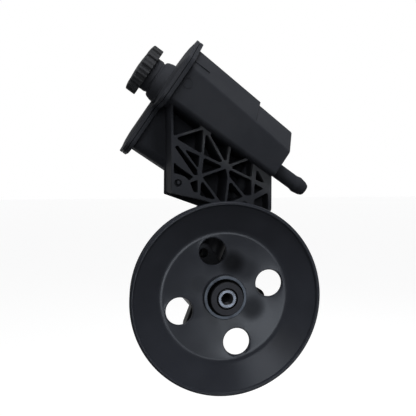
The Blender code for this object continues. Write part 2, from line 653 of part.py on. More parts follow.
def build_stack():
    """Cam ring, pressure plates, pins, spring, end plate and snap ring in the pump bore."""
    steps = 36
    pins = [(0.0, PIN_CIRCLE), (0.0, -PIN_CIRCLE)]
    pin_holes = [circle(PIN_RADIUS + SEAT, 10, pin) for pin in pins]
    cam = [(cam_radius(a) * math.cos(a), cam_radius(a) * math.sin(a))
           for a in (2.0 * math.pi * index / steps for index in range(steps))]
    ring = add_object("cam_ring", prism(circle(STACK_RADIUS, steps), RING_Y, RING_Y + RING_WIDTH),
                      "bright_steel")
    cut(ring, guide("cam_bore", prisms([cam, *pin_holes], RING_Y - MOUTH, RING_Y + RING_WIDTH + MOUTH)))

    port_in = PORT_RADIUS - PORT_WIDTH / 2.0
    port_out = PORT_RADIUS + PORT_WIDTH / 2.0
    ports = [arc_band(port_in, port_out, math.radians(45.0 + 90.0 * quarter) - PORT_SPAN / 2.0, PORT_SPAN)
             for quarter in range(4)]
    blind = PLATE_THICKNESS * 0.6
    hole = circle(JOURNAL_RADIUS + 2.0 * SEAT, 18)
    plate = add_object("front_pressure_plate",
                       prism(circle(STACK_RADIUS, 28), FRONT_PLATE_Y, FRONT_PLATE_Y + PLATE_THICKNESS),
                       "sintered_iron")
    end = FRONT_PLATE_Y + PLATE_THICKNESS + MOUTH
    cut(plate, guide("front_plate_bore", prism(hole, FRONT_PLATE_Y - MOUTH, end)),
        guide("front_ports", prisms([*ports, *pin_holes], FRONT_PLATE_Y + PLATE_THICKNESS - blind, end)))

    clear = circle(SPLINE_ROOT + SPLINE_HEIGHT + 0.0012 + 2.0 * SEAT, 18)
    plate = add_object("rear_pressure_plate",
                       prism(circle(STACK_RADIUS, 28), REAR_PLATE_Y, REAR_PLATE_Y + PLATE_THICKNESS),
                       "sintered_iron")
    cut(plate, guide("rear_plate_holes", prisms([clear, *ports, *pin_holes], REAR_PLATE_Y - MOUTH,
                                                REAR_PLATE_Y + PLATE_THICKNESS + MOUTH)))

    pin_start = FRONT_PLATE_Y + PLATE_THICKNESS - blind + SEAT
    pin_end = REAR_PLATE_Y + PLATE_THICKNESS - SEAT
    for name, centre in zip(("locating_pin_upper", "locating_pin_lower"), pins):
        add_object(name, prism(circle(PIN_RADIUS, 10, centre), pin_start, pin_end), "bright_steel")

    rise = SPRING_ROOM - SPRING_SHEET - 2.0 * SEAT
    near = SPRING_Y + SEAT
    profile = [(STACK_RADIUS * 0.5, near), (STACK_RADIUS * 0.9, near + rise),
               (STACK_RADIUS * 0.9, near + rise + SPRING_SHEET),
               (STACK_RADIUS * 0.5, near + SPRING_SHEET)]
    add_object("pressure_plate_spring", turned(profile, 20), "spring_steel")

    back = END_PLATE_Y + END_PLATE_THICKNESS
    groove = 2.0 * O_RING_WIRE
    middle = END_PLATE_Y + END_PLATE_THICKNESS * 0.45
    root = STACK_RADIUS - groove
    profile = [(0.0, END_PLATE_Y), (STACK_RADIUS - 0.0004, END_PLATE_Y),
               (STACK_RADIUS, END_PLATE_Y + 0.0004),
               (STACK_RADIUS, middle - O_RING_WIRE - SEAT), (root, middle - O_RING_WIRE - SEAT),
               (root, middle + O_RING_WIRE + SEAT), (STACK_RADIUS, middle + O_RING_WIRE + SEAT),
               (STACK_RADIUS, back), (STACK_RADIUS * 0.62, back), (STACK_RADIUS * 0.58, back - 0.0016),
               (0.0, back - 0.0016)]
    add_object("end_plate", turned(profile, 28), "bright_steel")
    wire = O_RING_WIRE - SEAT / 2.0
    add_object("end_plate_o_ring", turned(ring_profile(STACK_RADIUS - wire, wire, middle), 20), "rubber")

    snap = arc_band(STACK_RADIUS - 0.0016, PUMP_BORE + SNAP_RING_GRIP - SEAT, math.radians(105.0),
                    math.radians(330.0), 28)
    add_object("end_plate_snap_ring", prism(snap, SNAP_RING_Y, SNAP_RING_Y + SNAP_RING), "spring_steel")


def build_seal_and_bush():
    """Lip seal and plain bush in the housing's nose."""
    lip = JOURNAL_RADIUS + SEAT
    back = NOSE_Y + SEAT + SEAL_WIDTH - SEAT
    front = NOSE_Y + SEAT
    profile = [(lip + 0.0012, front), (SEAL_RADIUS, front), (SEAL_RADIUS, back), (lip + 0.0030, back),
               (lip + 0.0026, front + SEAL_WIDTH * 0.45), (lip, back - 0.0012), (lip, back - 0.0022)]
    add_object("shaft_seal", turned(profile, 22), "rubber")
    start = SEAL_FLOOR_Y + SEAT
    profile = [(JOURNAL_RADIUS + SEAT, start), (BUSH_RADIUS, start), (BUSH_RADIUS, start + BUSH_LENGTH),
               (JOURNAL_RADIUS + SEAT, start + BUSH_LENGTH)]
    add_object("front_bush", turned(profile, 22), "bronze")


def build_housing(inlet_frame, valve_frame):
    """Die-cast housing with its ears, inlet boss, valve boss and reservoir lug."""
    profile = [(0.0, NOSE_Y), (NOSE_RADIUS - 0.0008, NOSE_Y), (NOSE_RADIUS, NOSE_Y + 0.0008),
               (NOSE_RADIUS, -0.0005),
               (NOSE_RADIUS + 0.0005, 0.0), (BODY_RADIUS - 0.0006, 0.0), (BODY_RADIUS, 0.0006),
               (BODY_RADIUS, BODY_END_Y - 0.0006), (BODY_RADIUS - 0.0006, BODY_END_Y), (0.0, BODY_END_Y)]
    housing = add_object("pump_housing", turned(profile, 30), "cast_aluminium")
    ears = []
    for number, angle in enumerate(EAR_ANGLES, 1):
        outline = hull_lug(EAR_CIRCLE, EAR_RADIUS, BODY_RADIUS * 0.62, angle)
        ears.append(guide("ear_%d" % number, prism(outline, 0.00005, EAR_THICKNESS)))

    boss_top = INLET_DEPTH
    boss_foot = -NOZZLE_Z / math.cos(NOZZLE_LEAN) + BODY_RADIUS * 0.75
    profile = [(0.0, boss_foot), (INLET_BOSS_RADIUS + 0.0010, boss_foot),
               (INLET_BOSS_RADIUS, boss_top - 0.0006),
               (INLET_BOSS_RADIUS - 0.0006, boss_top), (0.0, boss_top)]
    inlet_boss = guide("inlet_boss", turned(profile, 18, "Z"), inlet_frame)

    bottom = VALVE_FLOOR - VALVE_BOSS_WALL
    profile = [(0.0, bottom), (VALVE_BOSS_RADIUS - 0.0010, bottom), (VALVE_BOSS_RADIUS, bottom + 0.0010),
               (VALVE_BOSS_RADIUS, VALVE_BOSS_TOP - 0.0006), (VALVE_BOSS_RADIUS - 0.0006, VALVE_BOSS_TOP),
               (0.0, VALVE_BOSS_TOP)]
    valve_boss = guide("valve_boss", turned(profile, 20, "Z"), valve_frame)

    reach = BOLT_HEAD_ACROSS / 2.0 + BOLT_CLEARANCE + TRUSS_WALL
    top = BOLT_PLACES[0][1] + reach
    root = BODY_RADIUS * 0.6
    outline = [(-root, 0.0), (root, 0.0), (TONGUE_RIGHT, TONGUE_FOOT - 0.0020), (TONGUE_RIGHT, top),
               (TONGUE_LEFT, top),
               (TONGUE_LEFT, TONGUE_FOOT - 0.0040)]
    lug = prism(rounded(outline, [0.0, 0.0, 0.0060, 0.0060, 0.0060, 0.0060], 2), LUG_Y,
                LUG_Y + LUG_THICKNESS)
    join(housing, *ears, inlet_boss, valve_boss, guide("reservoir_lug", lug))

    nose_bore = SEAL_RADIUS + SEAT
    bush_bore = BUSH_RADIUS + SEAT
    profile = [(0.0, NOSE_Y - MOUTH), (nose_bore, NOSE_Y - MOUTH), (nose_bore, SEAL_FLOOR_Y),
               (bush_bore, SEAL_FLOOR_Y),
               (bush_bore, BORE_FLOOR), (PUMP_BORE, BORE_FLOOR), (PUMP_BORE, SNAP_RING_Y - SEAT),
               (PUMP_BORE + SNAP_RING_GRIP, SNAP_RING_Y - SEAT),
               (PUMP_BORE + SNAP_RING_GRIP, SNAP_RING_Y + SNAP_RING + SEAT),
               (PUMP_BORE, SNAP_RING_Y + SNAP_RING + SEAT), (PUMP_BORE, BODY_END_Y + MOUTH),
               (0.0, BODY_END_Y + MOUTH)]
    shaft_bores = guide("shaft_and_pump_bores", turned(profile, 26, seam=SEAM_TURN))
    ear_holes = [circle(EAR_HOLE, 12, turn([(EAR_CIRCLE, 0.0)], angle)[0]) for angle in EAR_ANGLES]
    ear_cuts = guide("ear_holes", prisms(ear_holes, -MOUTH, EAR_THICKNESS + MOUTH))
    bolt_holes = [circle(BOLT_RADIUS + SEAT, 12, place_xz) for place_xz in BOLT_PLACES]
    lug_cuts = guide("lug_holes", prisms(bolt_holes, LUG_Y - MOUTH, LUG_Y + LUG_THICKNESS + MOUTH))
    inlet_bore = NOZZLE_RADIUS + O_RING_WIRE * 0.7 + SEAT
    profile = [(0.0, -0.0140), (NOZZLE_BORE, -0.0140), (NOZZLE_BORE, -0.0010), (inlet_bore, -0.0006),
               (inlet_bore, INLET_DEPTH + MOUTH), (0.0, INLET_DEPTH + MOUTH)]
    inlet_cut = guide("inlet_bore", turned(profile, 16, "Z", SEAM_TURN), inlet_frame)
    valve_bore = SPOOL_RADIUS + SEAT
    thread_bore = FITTING_THREAD + SEAT
    thread_floor = VALVE_BOSS_TOP - FITTING_THREAD_LENGTH - SEAT
    seal_seat = thread_bore + 2.0 * O_RING_WIRE
    profile = [(0.0, VALVE_FLOOR), (valve_bore, VALVE_FLOOR), (valve_bore, thread_floor),
               (thread_bore, thread_floor),
               (thread_bore, VALVE_BOSS_TOP - 2.0 * O_RING_WIRE),
               (seal_seat, VALVE_BOSS_TOP - 2.0 * O_RING_WIRE),
               (seal_seat, VALVE_BOSS_TOP + MOUTH), (0.0, VALVE_BOSS_TOP + MOUTH)]
    valve_cut = guide("valve_bore", turned(profile, 18, "Z", SEAM_TURN), valve_frame)
    cut(housing, shaft_bores, ear_cuts, lug_cuts, inlet_cut, valve_cut)


def build_valve(valve_frame):
    """Flow control spool on its spring, under the outlet fitting."""
    spring_foot = VALVE_FLOOR + SEAT + SPRING_WIRE
    bm = bmesh.new()
    ring = [bm.verts.new((SPRING_RADIUS + x, 0.0, spring_foot + z)) for x, z in circle(SPRING_WIRE, 5)]
    face = bm.faces.new(ring)
    bmesh.ops.spin(bm, geom=[face, *ring, *face.edges], cent=(0.0, 0.0, 0.0), axis=(0.0, 0.0, 1.0),
                   dvec=(0.0, 0.0, (SPRING_LENGTH - 2.0 * SPRING_WIRE) / (10 * SPRING_TURNS)),
                   angle=2.0 * math.pi * SPRING_TURNS, steps=10 * SPRING_TURNS, use_duplicate=False)
    add_object("flow_control_spring", bm, "spring_steel", valve_frame)

    foot = VALVE_FLOOR + 2.0 * SEAT + SPRING_LENGTH
    top = foot + SPOOL_LENGTH
    land = SPOOL_LENGTH * 0.3
    waist = SPOOL_RADIUS * 0.68
    profile = [(0.0, foot), (SPOOL_RADIUS - 0.0004, foot), (SPOOL_RADIUS, foot + 0.0004),
               (SPOOL_RADIUS, foot + land),
               (waist, foot + land + 0.0006), (waist, top - land - 0.0006), (SPOOL_RADIUS, top - land),
               (SPOOL_RADIUS, top - 0.0004), (SPOOL_RADIUS - 0.0004, top), (0.0, top)]
    add_object("flow_control_valve", turned(profile, 18, "Z"), "bright_steel", valve_frame)

    nose = SPOOL_RADIUS * 0.85
    seat = VALVE_BOSS_TOP + SEAT
    hex_top = seat + FITTING_HEX_HEIGHT
    thread_foot = VALVE_BOSS_TOP - FITTING_THREAD_LENGTH
    port = FITTING_THREAD * 0.88
    profile = [(FITTING_BORE, top + SEAT), (nose, top + SEAT), (nose, thread_foot),
               (FITTING_THREAD, thread_foot + 0.0008),
               (FITTING_THREAD, seat + 0.0010), (port, hex_top - 0.0010),
               (port, hex_top + FITTING_TOP - 0.0008),
               (port - 0.0008, hex_top + FITTING_TOP), (FITTING_BORE + 0.0014, hex_top + FITTING_TOP),
               (FITTING_BORE, hex_top + FITTING_TOP - 0.0014)]
    fitting = add_object("outlet_fitting", turned(profile, 20, "Z"), "bright_steel", valve_frame)
    nut = guide("fitting_hex", prism(hexagon(FITTING_HEX), seat, hex_top, "XY"), valve_frame)
    cut(nut,
        guide("fitting_hex_bore", prism(circle(port * 0.8, 20), seat - MOUTH, hex_top + MOUTH, "XY"),
              valve_frame))
    join(fitting, nut)
    wire = O_RING_WIRE - SEAT / 2.0
    profile = ring_profile(FITTING_THREAD + SEAT + wire, wire, VALVE_BOSS_TOP - O_RING_WIRE)
    add_object("outlet_o_ring", turned(profile, 20, "Z"), "rubber", valve_frame)


def tank_section(height, inset=0.0, stepped=False):
    """Outline of the tank's main chamber at a height, moved in by inset."""
    share = (TANK_TOP - height) / (TANK_TOP - TANK_BOTTOM)
    shelf = SHELF_S - SHELF_TAPER * share
    face = FACE_S - FACE_TAPER * share
    nose = NOSE_S - NOSE_TAPER * share - (TANK_STEP_DEPTH if stepped else 0.0)
    outline = [(shelf, TANK_FRONT_Y), (face, TANK_FRONT_Y), (nose, NECK_Y - NOSE_HALF_WIDTH),
               (nose, NECK_Y + NOSE_HALF_WIDTH), (face, TANK_BACK_Y), (shelf, TANK_BACK_Y)]
    moved = offset(outline, -inset)
    radii = [0.0040, 0.0030, 0.0050, 0.0050, 0.0030, 0.0030]
    return rounded(moved, [max(radius - inset, 0.0010) for radius in radii], 2)


def wing_section(height, inset=0.0, reach=0.0):
    """Outline of the shallower chamber beside it."""
    share = (TANK_TOP - height) / (TANK_TOP - WING_BOTTOM)
    side = WING_S + WING_TAPER * share + inset
    inner = SHELF_S + 0.0010 + reach
    outline = [(side, WING_FRONT_Y + inset), (inner, WING_FRONT_Y + inset),
               (inner, TANK_BACK_Y - 0.0010 - inset),
               (side, TANK_BACK_Y - 0.0010 - inset)]
    round_side = max(0.0080 - inset, 0.0010)
    return rounded(outline, [round_side, 0.0, 0.0, round_side], 3)


def lid_outline(grow):
    """Outline of both flanges: round the main chamber and the wing, grown by a lip."""
    side = WING_S - max(grow, 0.0) / FLANGE_LIP * (WING_LIP - FLANGE_LIP)
    outline = [(SHELF_S, TANK_FRONT_Y), (FACE_S, TANK_FRONT_Y), (NOSE_S, NECK_Y - NOSE_HALF_WIDTH),
               (NOSE_S, NECK_Y + NOSE_HALF_WIDTH), (FACE_S, TANK_BACK_Y), (side, TANK_BACK_Y),
               (side, WING_FRONT_Y), (SHELF_S, WING_FRONT_Y)]
    radii = [0.0080, 0.0080, 0.0100, 0.0100, 0.0080, 0.0120, 0.0120, 0.0060]
    return rounded(offset(outline, grow), radii, 3)


def build_truss():
    """Ribbed bracket: a deep plate with a pocket between every pair of ribs."""
    truss = guide("truss", prism(rounded(TRUSS_OUTLINE, [0.002, 0.0, 0.0, 0.0, 0.004, 0.0, 0.0], 2),
                                 TRUSS_FRONT_Y, TRUSS_FLOOR_Y + TRUSS_FLOOR - 0.0004))
    pockets = []
    for names in POCKETS:
        outline = anticlockwise([NODE[name] for name in names])
        pockets.append(rounded(offset(outline, -RIB / 2.0), RIB_FILLET, 1))
    pockets += [rounded(anticlockwise(outline), RIB_FILLET * 0.6, 1) for outline in OPEN_POCKETS]
    pocket_cuts = guide("truss_pockets", prisms(pockets, TRUSS_FRONT_Y - MOUTH, TRUSS_FLOOR_Y))
    panel = rounded(anticlockwise(PANEL), RIB_FILLET, 1)
    screw = circle(BRACKET_SCREW_HOLE, 12, BRACKET_SCREW)
    cut(truss, pocket_cuts, guide("truss_panel", prism(panel, TRUSS_FRONT_Y - MOUTH, PANEL_FLOOR_Y)),
        guide("bracket_screw_hole",
              prism(screw, TRUSS_FRONT_Y - MOUTH, TRUSS_FRONT_Y + BRACKET_SCREW_DEPTH)))
    return truss


def build_reservoir(tank_frame, nozzle_frame, barb_frame):
    """Moulded tank with its flange, truss bracket, suction nozzle and return barb."""
    sections = [(TANK_TOP + 0.0005, tank_section(TANK_TOP)), (TANK_STEP, tank_section(TANK_STEP)),
                (TANK_STEP - 0.0006, tank_section(TANK_STEP - 0.0006, stepped=True)),
                (TANK_BOTTOM + 0.0012, tank_section(TANK_BOTTOM + 0.0012, stepped=True)),
                (TANK_BOTTOM, tank_section(TANK_BOTTOM, 0.0010, True))]
    tank = add_object("reservoir_body", loft(sections), "black_nylon", tank_frame)
    wing = loft([(TANK_TOP + 0.0005, wing_section(TANK_TOP)),
                 (WING_BOTTOM + 0.0030, wing_section(WING_BOTTOM + 0.0030)),
                 (WING_BOTTOM, wing_section(WING_BOTTOM, 0.0020, 0.0020))])
    flange = prism(lid_outline(FLANGE_LIP), TANK_TOP, TANK_TOP + FLANGE_THICKNESS, "XY")
    back = guide("bracket_back",
                 prism(rounded(BACK_OUTLINE, [0.001, 0.0, 0.004, 0.005, 0.005, 0.004, 0.0, 0.0, 0.0], 2),
                                       TRUSS_FLOOR_Y, TRUSS_FLOOR_Y + TRUSS_FLOOR))
    low, left, right = TONGUE_FOOT + 0.0015, TONGUE_LEFT + 0.0002, TONGUE_RIGHT - 0.0002
    sides = [[(left, low), (left + TRUSS_WALL, low), (left + TRUSS_WALL, 0.0640), (left, 0.0640)],
             [(right - TRUSS_WALL, low), (right, low), (right, 0.0720), (right - TRUSS_WALL, 0.0720)]]
    cheeks = guide("bracket_cheeks", prisms(sides, TRUSS_FLOOR_Y - 0.0160, TRUSS_FLOOR_Y + 0.0010))
    groove = NOZZLE_RADIUS - O_RING_WIRE * 1.3
    low = 0.0040
    wide = low + 2.0 * O_RING_WIRE + 2.0 * SEAT
    profile = [(0.0, 0.0), (NOZZLE_RADIUS - 0.0006, 0.0), (NOZZLE_RADIUS, 0.0006), (NOZZLE_RADIUS, low),
               (groove, low),
               (groove, wide), (NOZZLE_RADIUS, wide), (NOZZLE_RADIUS, NOZZLE_LENGTH),
               (0.0, NOZZLE_LENGTH)]
    nozzle = guide("suction_nozzle", turned(profile, 18, "Z"), nozzle_frame)
    bead = BARB_LENGTH * 0.76
    profile = [(0.0, 0.0020), (BARB_RADIUS, 0.0020), (BARB_RADIUS, -bead + 0.0030),
               (BARB_RADIUS + BARB_BEAD, -bead),
               (BARB_RADIUS + BARB_BEAD, -bead - 0.0015), (BARB_RADIUS - 0.0002, -BARB_LENGTH + 0.0032),
               (BARB_RADIUS - 0.0014, -BARB_LENGTH + 0.0006), (BARB_RADIUS - 0.0020, -BARB_LENGTH),
               (0.0, -BARB_LENGTH)]
    barb = guide("return_barb", turned(profile, 24, "Z"), barb_frame)
    join(tank, guide("tank_wing", wing, tank_frame), guide("tank_flange", flange, tank_frame),
         build_truss(), back,
         cheeks, nozzle, barb)

    roof = TANK_TOP + FLANGE_THICKNESS + MOUTH
    floor = TANK_BOTTOM + TANK_WALL
    cavity = loft([(floor, tank_section(floor, TANK_WALL, True)),
                   (TANK_STEP - 0.0006 + TANK_WALL, tank_section(TANK_STEP, TANK_WALL, True)),
                   (TANK_STEP + TANK_WALL, tank_section(TANK_STEP + TANK_WALL, TANK_WALL)),
                   (roof, tank_section(TANK_TOP, TANK_WALL))])
    wing_floor = WING_BOTTOM + TANK_WALL
    wing_cavity = loft([(wing_floor, wing_section(wing_floor, TANK_WALL, 0.0100)),
                        (roof, wing_section(TANK_TOP, TANK_WALL, 0.0100))])
    nozzle_bore = turn(circle(NOZZLE_BORE, 10), SEAM_TURN)
    barb_bore = turn(circle(BARB_BORE, 14), SEAM_TURN)
    holes = [circle(BOLT_RADIUS + 2.0 * SEAT, 12, centre) for centre in BOLT_PLACES]
    cut(tank, guide("tank_cavity", cavity, tank_frame), guide("wing_cavity", wing_cavity, tank_frame),
        guide("nozzle_bore", prism(nozzle_bore, -MOUTH, NOZZLE_LENGTH + 0.0080, "XY"), nozzle_frame),
        guide("barb_bore", prism(barb_bore, -BARB_LENGTH - MOUTH, TANK_WALL + 0.0030, "XY"), barb_frame),
        guide("bracket_bolt_holes", prisms(holes, TRUSS_FLOOR_Y - MOUTH, LUG_Y + MOUTH)))
    wire = O_RING_WIRE - SEAT / 2.0
    ring_radius = groove + SEAT + wire
    add_object("suction_o_ring", turned(ring_profile(ring_radius, wire, (low + wide) / 2.0), 20, "Z"),
               "rubber", nozzle_frame)


def build_bolts():
    """Two bolts that hold the bracket to the housing lug."""
    seat = TRUSS_FLOOR_Y - SEAT
    for name, centre in zip(("reservoir_bolt_left", "reservoir_bolt_right"), BOLT_PLACES):
        corners = turn(hexagon(BOLT_HEAD_ACROSS), math.radians(30.0))
        head = prism([(centre[0] + x, centre[1] + y) for x, y in corners], seat - BOLT_HEAD_HEIGHT, seat)
        bolt = add_object(name, head, "bright_steel")
        shank = prism(circle(BOLT_RADIUS, 12, centre), seat - BOLT_HEAD_HEIGHT * 0.5, seat + BOLT_LENGTH)
        join(bolt, guide(name + "_shank", shank))


def build_cover(tank_frame, neck_frame):
    """Welded cover with a crowned top and the filler neck."""
    rim = TANK_TOP + FLANGE_THICKNESS + SEAT
    top = rim + COVER_RIM
    crown = top + COVER_CROWN
    cover = add_object("reservoir_cover", prism(lid_outline(FLANGE_LIP), rim, top, "XY"), "black_nylon",
                       tank_frame)
    dome = loft([(top - 0.0010, lid_outline(FLANGE_LIP - 0.0030)),
                 (top + 0.0008, lid_outline(FLANGE_LIP - 0.0045)),
                 (crown, lid_outline(FLANGE_LIP - 0.0140))])
    join(cover, guide("cover_dome", dome, tank_frame))
    hollow = loft([(rim - MOUTH, lid_outline(-TANK_WALL)),
                   (crown - COVER_RIM, lid_outline(-TANK_WALL - 0.0060))])
    cut(cover, guide("cover_hollow", hollow, tank_frame))
    shoulder = crown + NECK_SHOULDER
    end = top + NECK_LENGTH
    profile = [(0.0, rim + 0.0004), (NECK_COLLAR + 0.0010, rim + 0.0004), (NECK_COLLAR + 0.0010, crown),
               (NECK_COLLAR, crown + 0.0006), (NECK_COLLAR * 0.95, shoulder - 0.0016),
               (NECK_RADIUS + 0.0014, shoulder),
               (NECK_RADIUS - 0.0006, shoulder + 0.0004), (NECK_RADIUS - 0.0006, shoulder + 0.0018),
               (NECK_RADIUS, shoulder + 0.0022), (NECK_RADIUS, end - 0.0006), (NECK_RADIUS - 0.0006, end),
               (0.0, end)]
    join(cover, guide("filler_neck", turned(profile, 26, "Z"), neck_frame))
    cut(cover,
        guide("neck_bore", prism(turn(circle(NECK_BORE, 24), SEAM_TURN), rim - MOUTH, end + MOUTH, "XY"),
              neck_frame))


def build_cap(neck_frame):
    """Lobed filler cap with its plug, seal and swivelling dipstick."""
    neck_end = TANK_TOP + FLANGE_THICKNESS + SEAT + COVER_RIM + NECK_LENGTH
    top = neck_end + SEAT + CAP_ROOF
    skirt = top - CAP_HEIGHT
    pitch = 2.0 * math.pi / CAP_LOBES
    outer = []
    for lobe in range(CAP_LOBES):
        for share, radius in ((0.06, CAP_RADIUS), (0.36, CAP_RADIUS), (0.66, CAP_RADIUS),
                              (0.74, CAP_RADIUS - CAP_GRIP_DEPTH), (0.98, CAP_RADIUS - CAP_GRIP_DEPTH)):
            outer.append((radius * math.cos(pitch * (lobe + share)),
                          radius * math.sin(pitch * (lobe + share))))
    dome = [(top - CAP_CROWN * (1.0 - rise), [(x * share, y * share) for x, y in outer])
            for rise, share in ((0.0, 1.0), (0.35, 0.95), (0.70, 0.78), (1.0, 0.40))]
    cap = add_object("filler_cap", loft([(skirt, outer), *dome]), "cap_nylon", neck_frame)
    roof = top - CAP_ROOF
    ring = prism(circle(NECK_RADIUS + 2.0 * SEAT, 26), skirt - MOUTH, roof, "XY")
    cut(cap, guide("cap_skirt_bore", ring, neck_frame))
    plug_foot = roof - CAP_PLUG_DEPTH
    seal_low = plug_foot + 0.0020
    seal_high = seal_low + 2.0 * CAP_SEAL_WIRE + 2.0 * SEAT
    seal_root = NECK_BORE - SEAT - 2.0 * CAP_SEAL_WIRE - SEAT
    profile = [(DIPSTICK_HEAD + SEAT, plug_foot), (CAP_PLUG - 0.0006, plug_foot),
               (CAP_PLUG, plug_foot + 0.0006),
               (CAP_PLUG, seal_low), (seal_root, seal_low), (seal_root, seal_high), (CAP_PLUG, seal_high),
               (CAP_PLUG, roof + 0.0010), (DIPSTICK_HEAD + SEAT, roof + 0.0010)]
    join(cap, guide("cap_plug", turned(profile, 22, "Z"), neck_frame))
    middle = (seal_low + seal_high) / 2.0
    profile = ring_profile(NECK_BORE - SEAT - CAP_SEAL_WIRE, CAP_SEAL_WIRE, middle)
    add_object("cap_seal", turned(profile, 22, "Z"), "rubber", neck_frame)
    head_top = roof - SEAT
    head_foot = head_top - 0.0050
    end = plug_foot - DIPSTICK_LENGTH
    profile = [(0.0, end), (DIPSTICK_RADIUS * 0.5, end), (DIPSTICK_RADIUS, end + 0.0020),
               (DIPSTICK_RADIUS, end + 0.0120),
               (DIPSTICK_RADIUS * 0.7, end + 0.0126), (DIPSTICK_RADIUS * 0.7, end + 0.0240),
               (DIPSTICK_RADIUS, end + 0.0246), (DIPSTICK_RADIUS, head_foot), (DIPSTICK_HEAD, head_foot),
               (DIPSTICK_HEAD, head_top), (0.0, head_top)]
    add_object("dipstick", turned(profile, 12, "Z"), "cap_nylon", neck_frame)


def main():
    """Clear the scene and build every piece."""
    for leftover in list(bpy.data.objects):
        bpy.data.objects.remove(leftover, do_unlink=True)
    tank_frame = frame("tank_frame", lean=-TANK_LEAN)
    neck_frame = frame("neck_frame", (NECK_S, NECK_Y, 0.0), parent=tank_frame)
    barb_frame = frame("barb_frame", (BARB_S, NECK_Y, TANK_BOTTOM), parent=tank_frame)
    nozzle_frame = frame("nozzle_frame", (NOZZLE_X, NOZZLE_Y, NOZZLE_Z), NOZZLE_LEAN)
    valve_frame = frame("valve_frame", (VALVE_X, VALVE_Y, 0.0))
    build_pulley()
    build_shaft()
    build_rotating_group()
    build_stack()
    build_seal_and_bush()
    build_housing(nozzle_frame, valve_frame)
    build_valve(valve_frame)
    build_reservoir(tank_frame, nozzle_frame, barb_frame)
    build_bolts()
    build_cover(tank_frame, neck_frame)
    build_cap(neck_frame)


main()
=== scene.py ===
"""Looks of a power steering pump with a leaning reservoir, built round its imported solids.

Lengths in the shape tables are millimetres. Each piece is modelled in the frame of the axis that it
belongs to, with local Z along that axis, and is placed in the part's own frame, in metres, once made.
"""

from __future__ import annotations

import logging
import math
from collections.abc import Iterable, Sequence
from dataclasses import dataclass, field
from enum import Enum

import bmesh
import bpy
from mathutils import Matrix, Vector

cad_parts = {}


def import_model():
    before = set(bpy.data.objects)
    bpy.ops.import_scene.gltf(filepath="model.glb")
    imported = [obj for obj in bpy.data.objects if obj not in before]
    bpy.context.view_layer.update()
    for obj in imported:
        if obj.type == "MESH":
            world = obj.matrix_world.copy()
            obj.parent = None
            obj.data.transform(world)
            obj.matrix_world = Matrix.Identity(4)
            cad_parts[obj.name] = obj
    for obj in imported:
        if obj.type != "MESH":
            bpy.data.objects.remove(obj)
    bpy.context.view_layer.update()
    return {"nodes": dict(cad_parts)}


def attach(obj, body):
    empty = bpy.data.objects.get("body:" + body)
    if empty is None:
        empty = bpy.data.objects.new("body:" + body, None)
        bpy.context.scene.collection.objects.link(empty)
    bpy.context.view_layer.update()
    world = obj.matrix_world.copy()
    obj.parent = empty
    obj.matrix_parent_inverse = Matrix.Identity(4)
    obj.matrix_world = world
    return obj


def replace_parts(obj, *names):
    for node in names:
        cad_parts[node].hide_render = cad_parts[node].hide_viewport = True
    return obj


LOG = logging.getLogger("steering_pump")
MM = 0.001

# The tank's turn about Y in degrees, and the direction in which it is wide.
LEAN = -55.5
ACROSS_TANK = (0.5664, 0.0, 0.8241)

# The pulley's front face along Y in metres, and the bracket's bolts seen along the shaft.
WEB_FACE = -0.027
BRACKET_BOLTS = ((-17.8, 47.0), (27.0, 47.0))

Point = tuple[float, float]
Outline = list[Point]
Station = tuple[float, float]
Inputs = dict[str, object]


class Body(Enum):
    """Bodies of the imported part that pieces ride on."""

    PUMP = "pump_and_reservoir"
    PULLEY = "pulley_and_rotor"
    SPOOL = "valve_spool"
    DIPSTICK = "hanging_dipstick"
    CAP = "screw_cap"


def _place(turn: Matrix, shift: tuple[float, float, float] = (0.0, 0.0, 0.0)) -> Matrix:
    """Return the matrix from a local frame in millimetres to the part's frame in metres."""
    return Matrix.Scale(MM, 4) @ turn @ Matrix.Translation(shift)


class Place(Enum):
    """Frames that pieces are modelled in."""

    SHAFT = "shaft"
    TANK = "tank"
    NECK = "neck"
    BARB = "barb"
    NOZZLE = "nozzle"
    VALVE = "valve"

    def matrix(self) -> Matrix:
        """Return the matrix that takes this frame into the part's frame."""
        lean = Matrix.Rotation(math.radians(LEAN), 4, "Y")
        places = {
            Place.SHAFT: _place(Matrix.Rotation(math.radians(90.0), 4, "X")),
            Place.TANK: _place(lean),
            Place.NECK: _place(lean, (124.9, 20.0, 0.0)),
            Place.BARB: _place(lean, (122.1, 20.0, 19.5)),
            Place.NOZZLE: _place(Matrix.Translation((7.8, 13.0, 53.4))
                                 @ Matrix.Rotation(math.radians(24.0), 4, "Y")),
            Place.VALVE: _place(Matrix.Translation((33.0, 43.5, 0.0))),
        }
        return places[self]


# Flat outlines and paths


def ring(radius: float, count: int, centre: Point = (0.0, 0.0)) -> Outline:
    """Return points round a circle, anticlockwise."""
    angles = [math.tau * index / count for index in range(count)]
    return [(centre[0] + radius * math.cos(a), centre[1] + radius * math.sin(a)) for a in angles]


def arc(radius: float, degrees: Iterable[float]) -> Outline:
    """Return points at angles on a circle about the origin."""
    return [(radius * math.cos(a), radius * math.sin(a)) for a in map(math.radians, degrees)]


def turned(points: Iterable[Point], degrees: float) -> Outline:
    """Return the points turned about the origin."""
    cosine, sine = math.cos(math.radians(degrees)), math.sin(math.radians(degrees))
    return [(x * cosine - y * sine, x * sine + y * cosine) for x, y in points]


def anticlockwise(outline: Sequence[Point]) -> Outline:
    """Return the same outline, running anticlockwise."""
    pairs = zip(outline, [*outline[1:], outline[0]])
    area = sum(a[0] * b[1] - b[0] * a[1] for a, b in pairs)
    return list(outline) if area > 0.0 else list(reversed(outline))


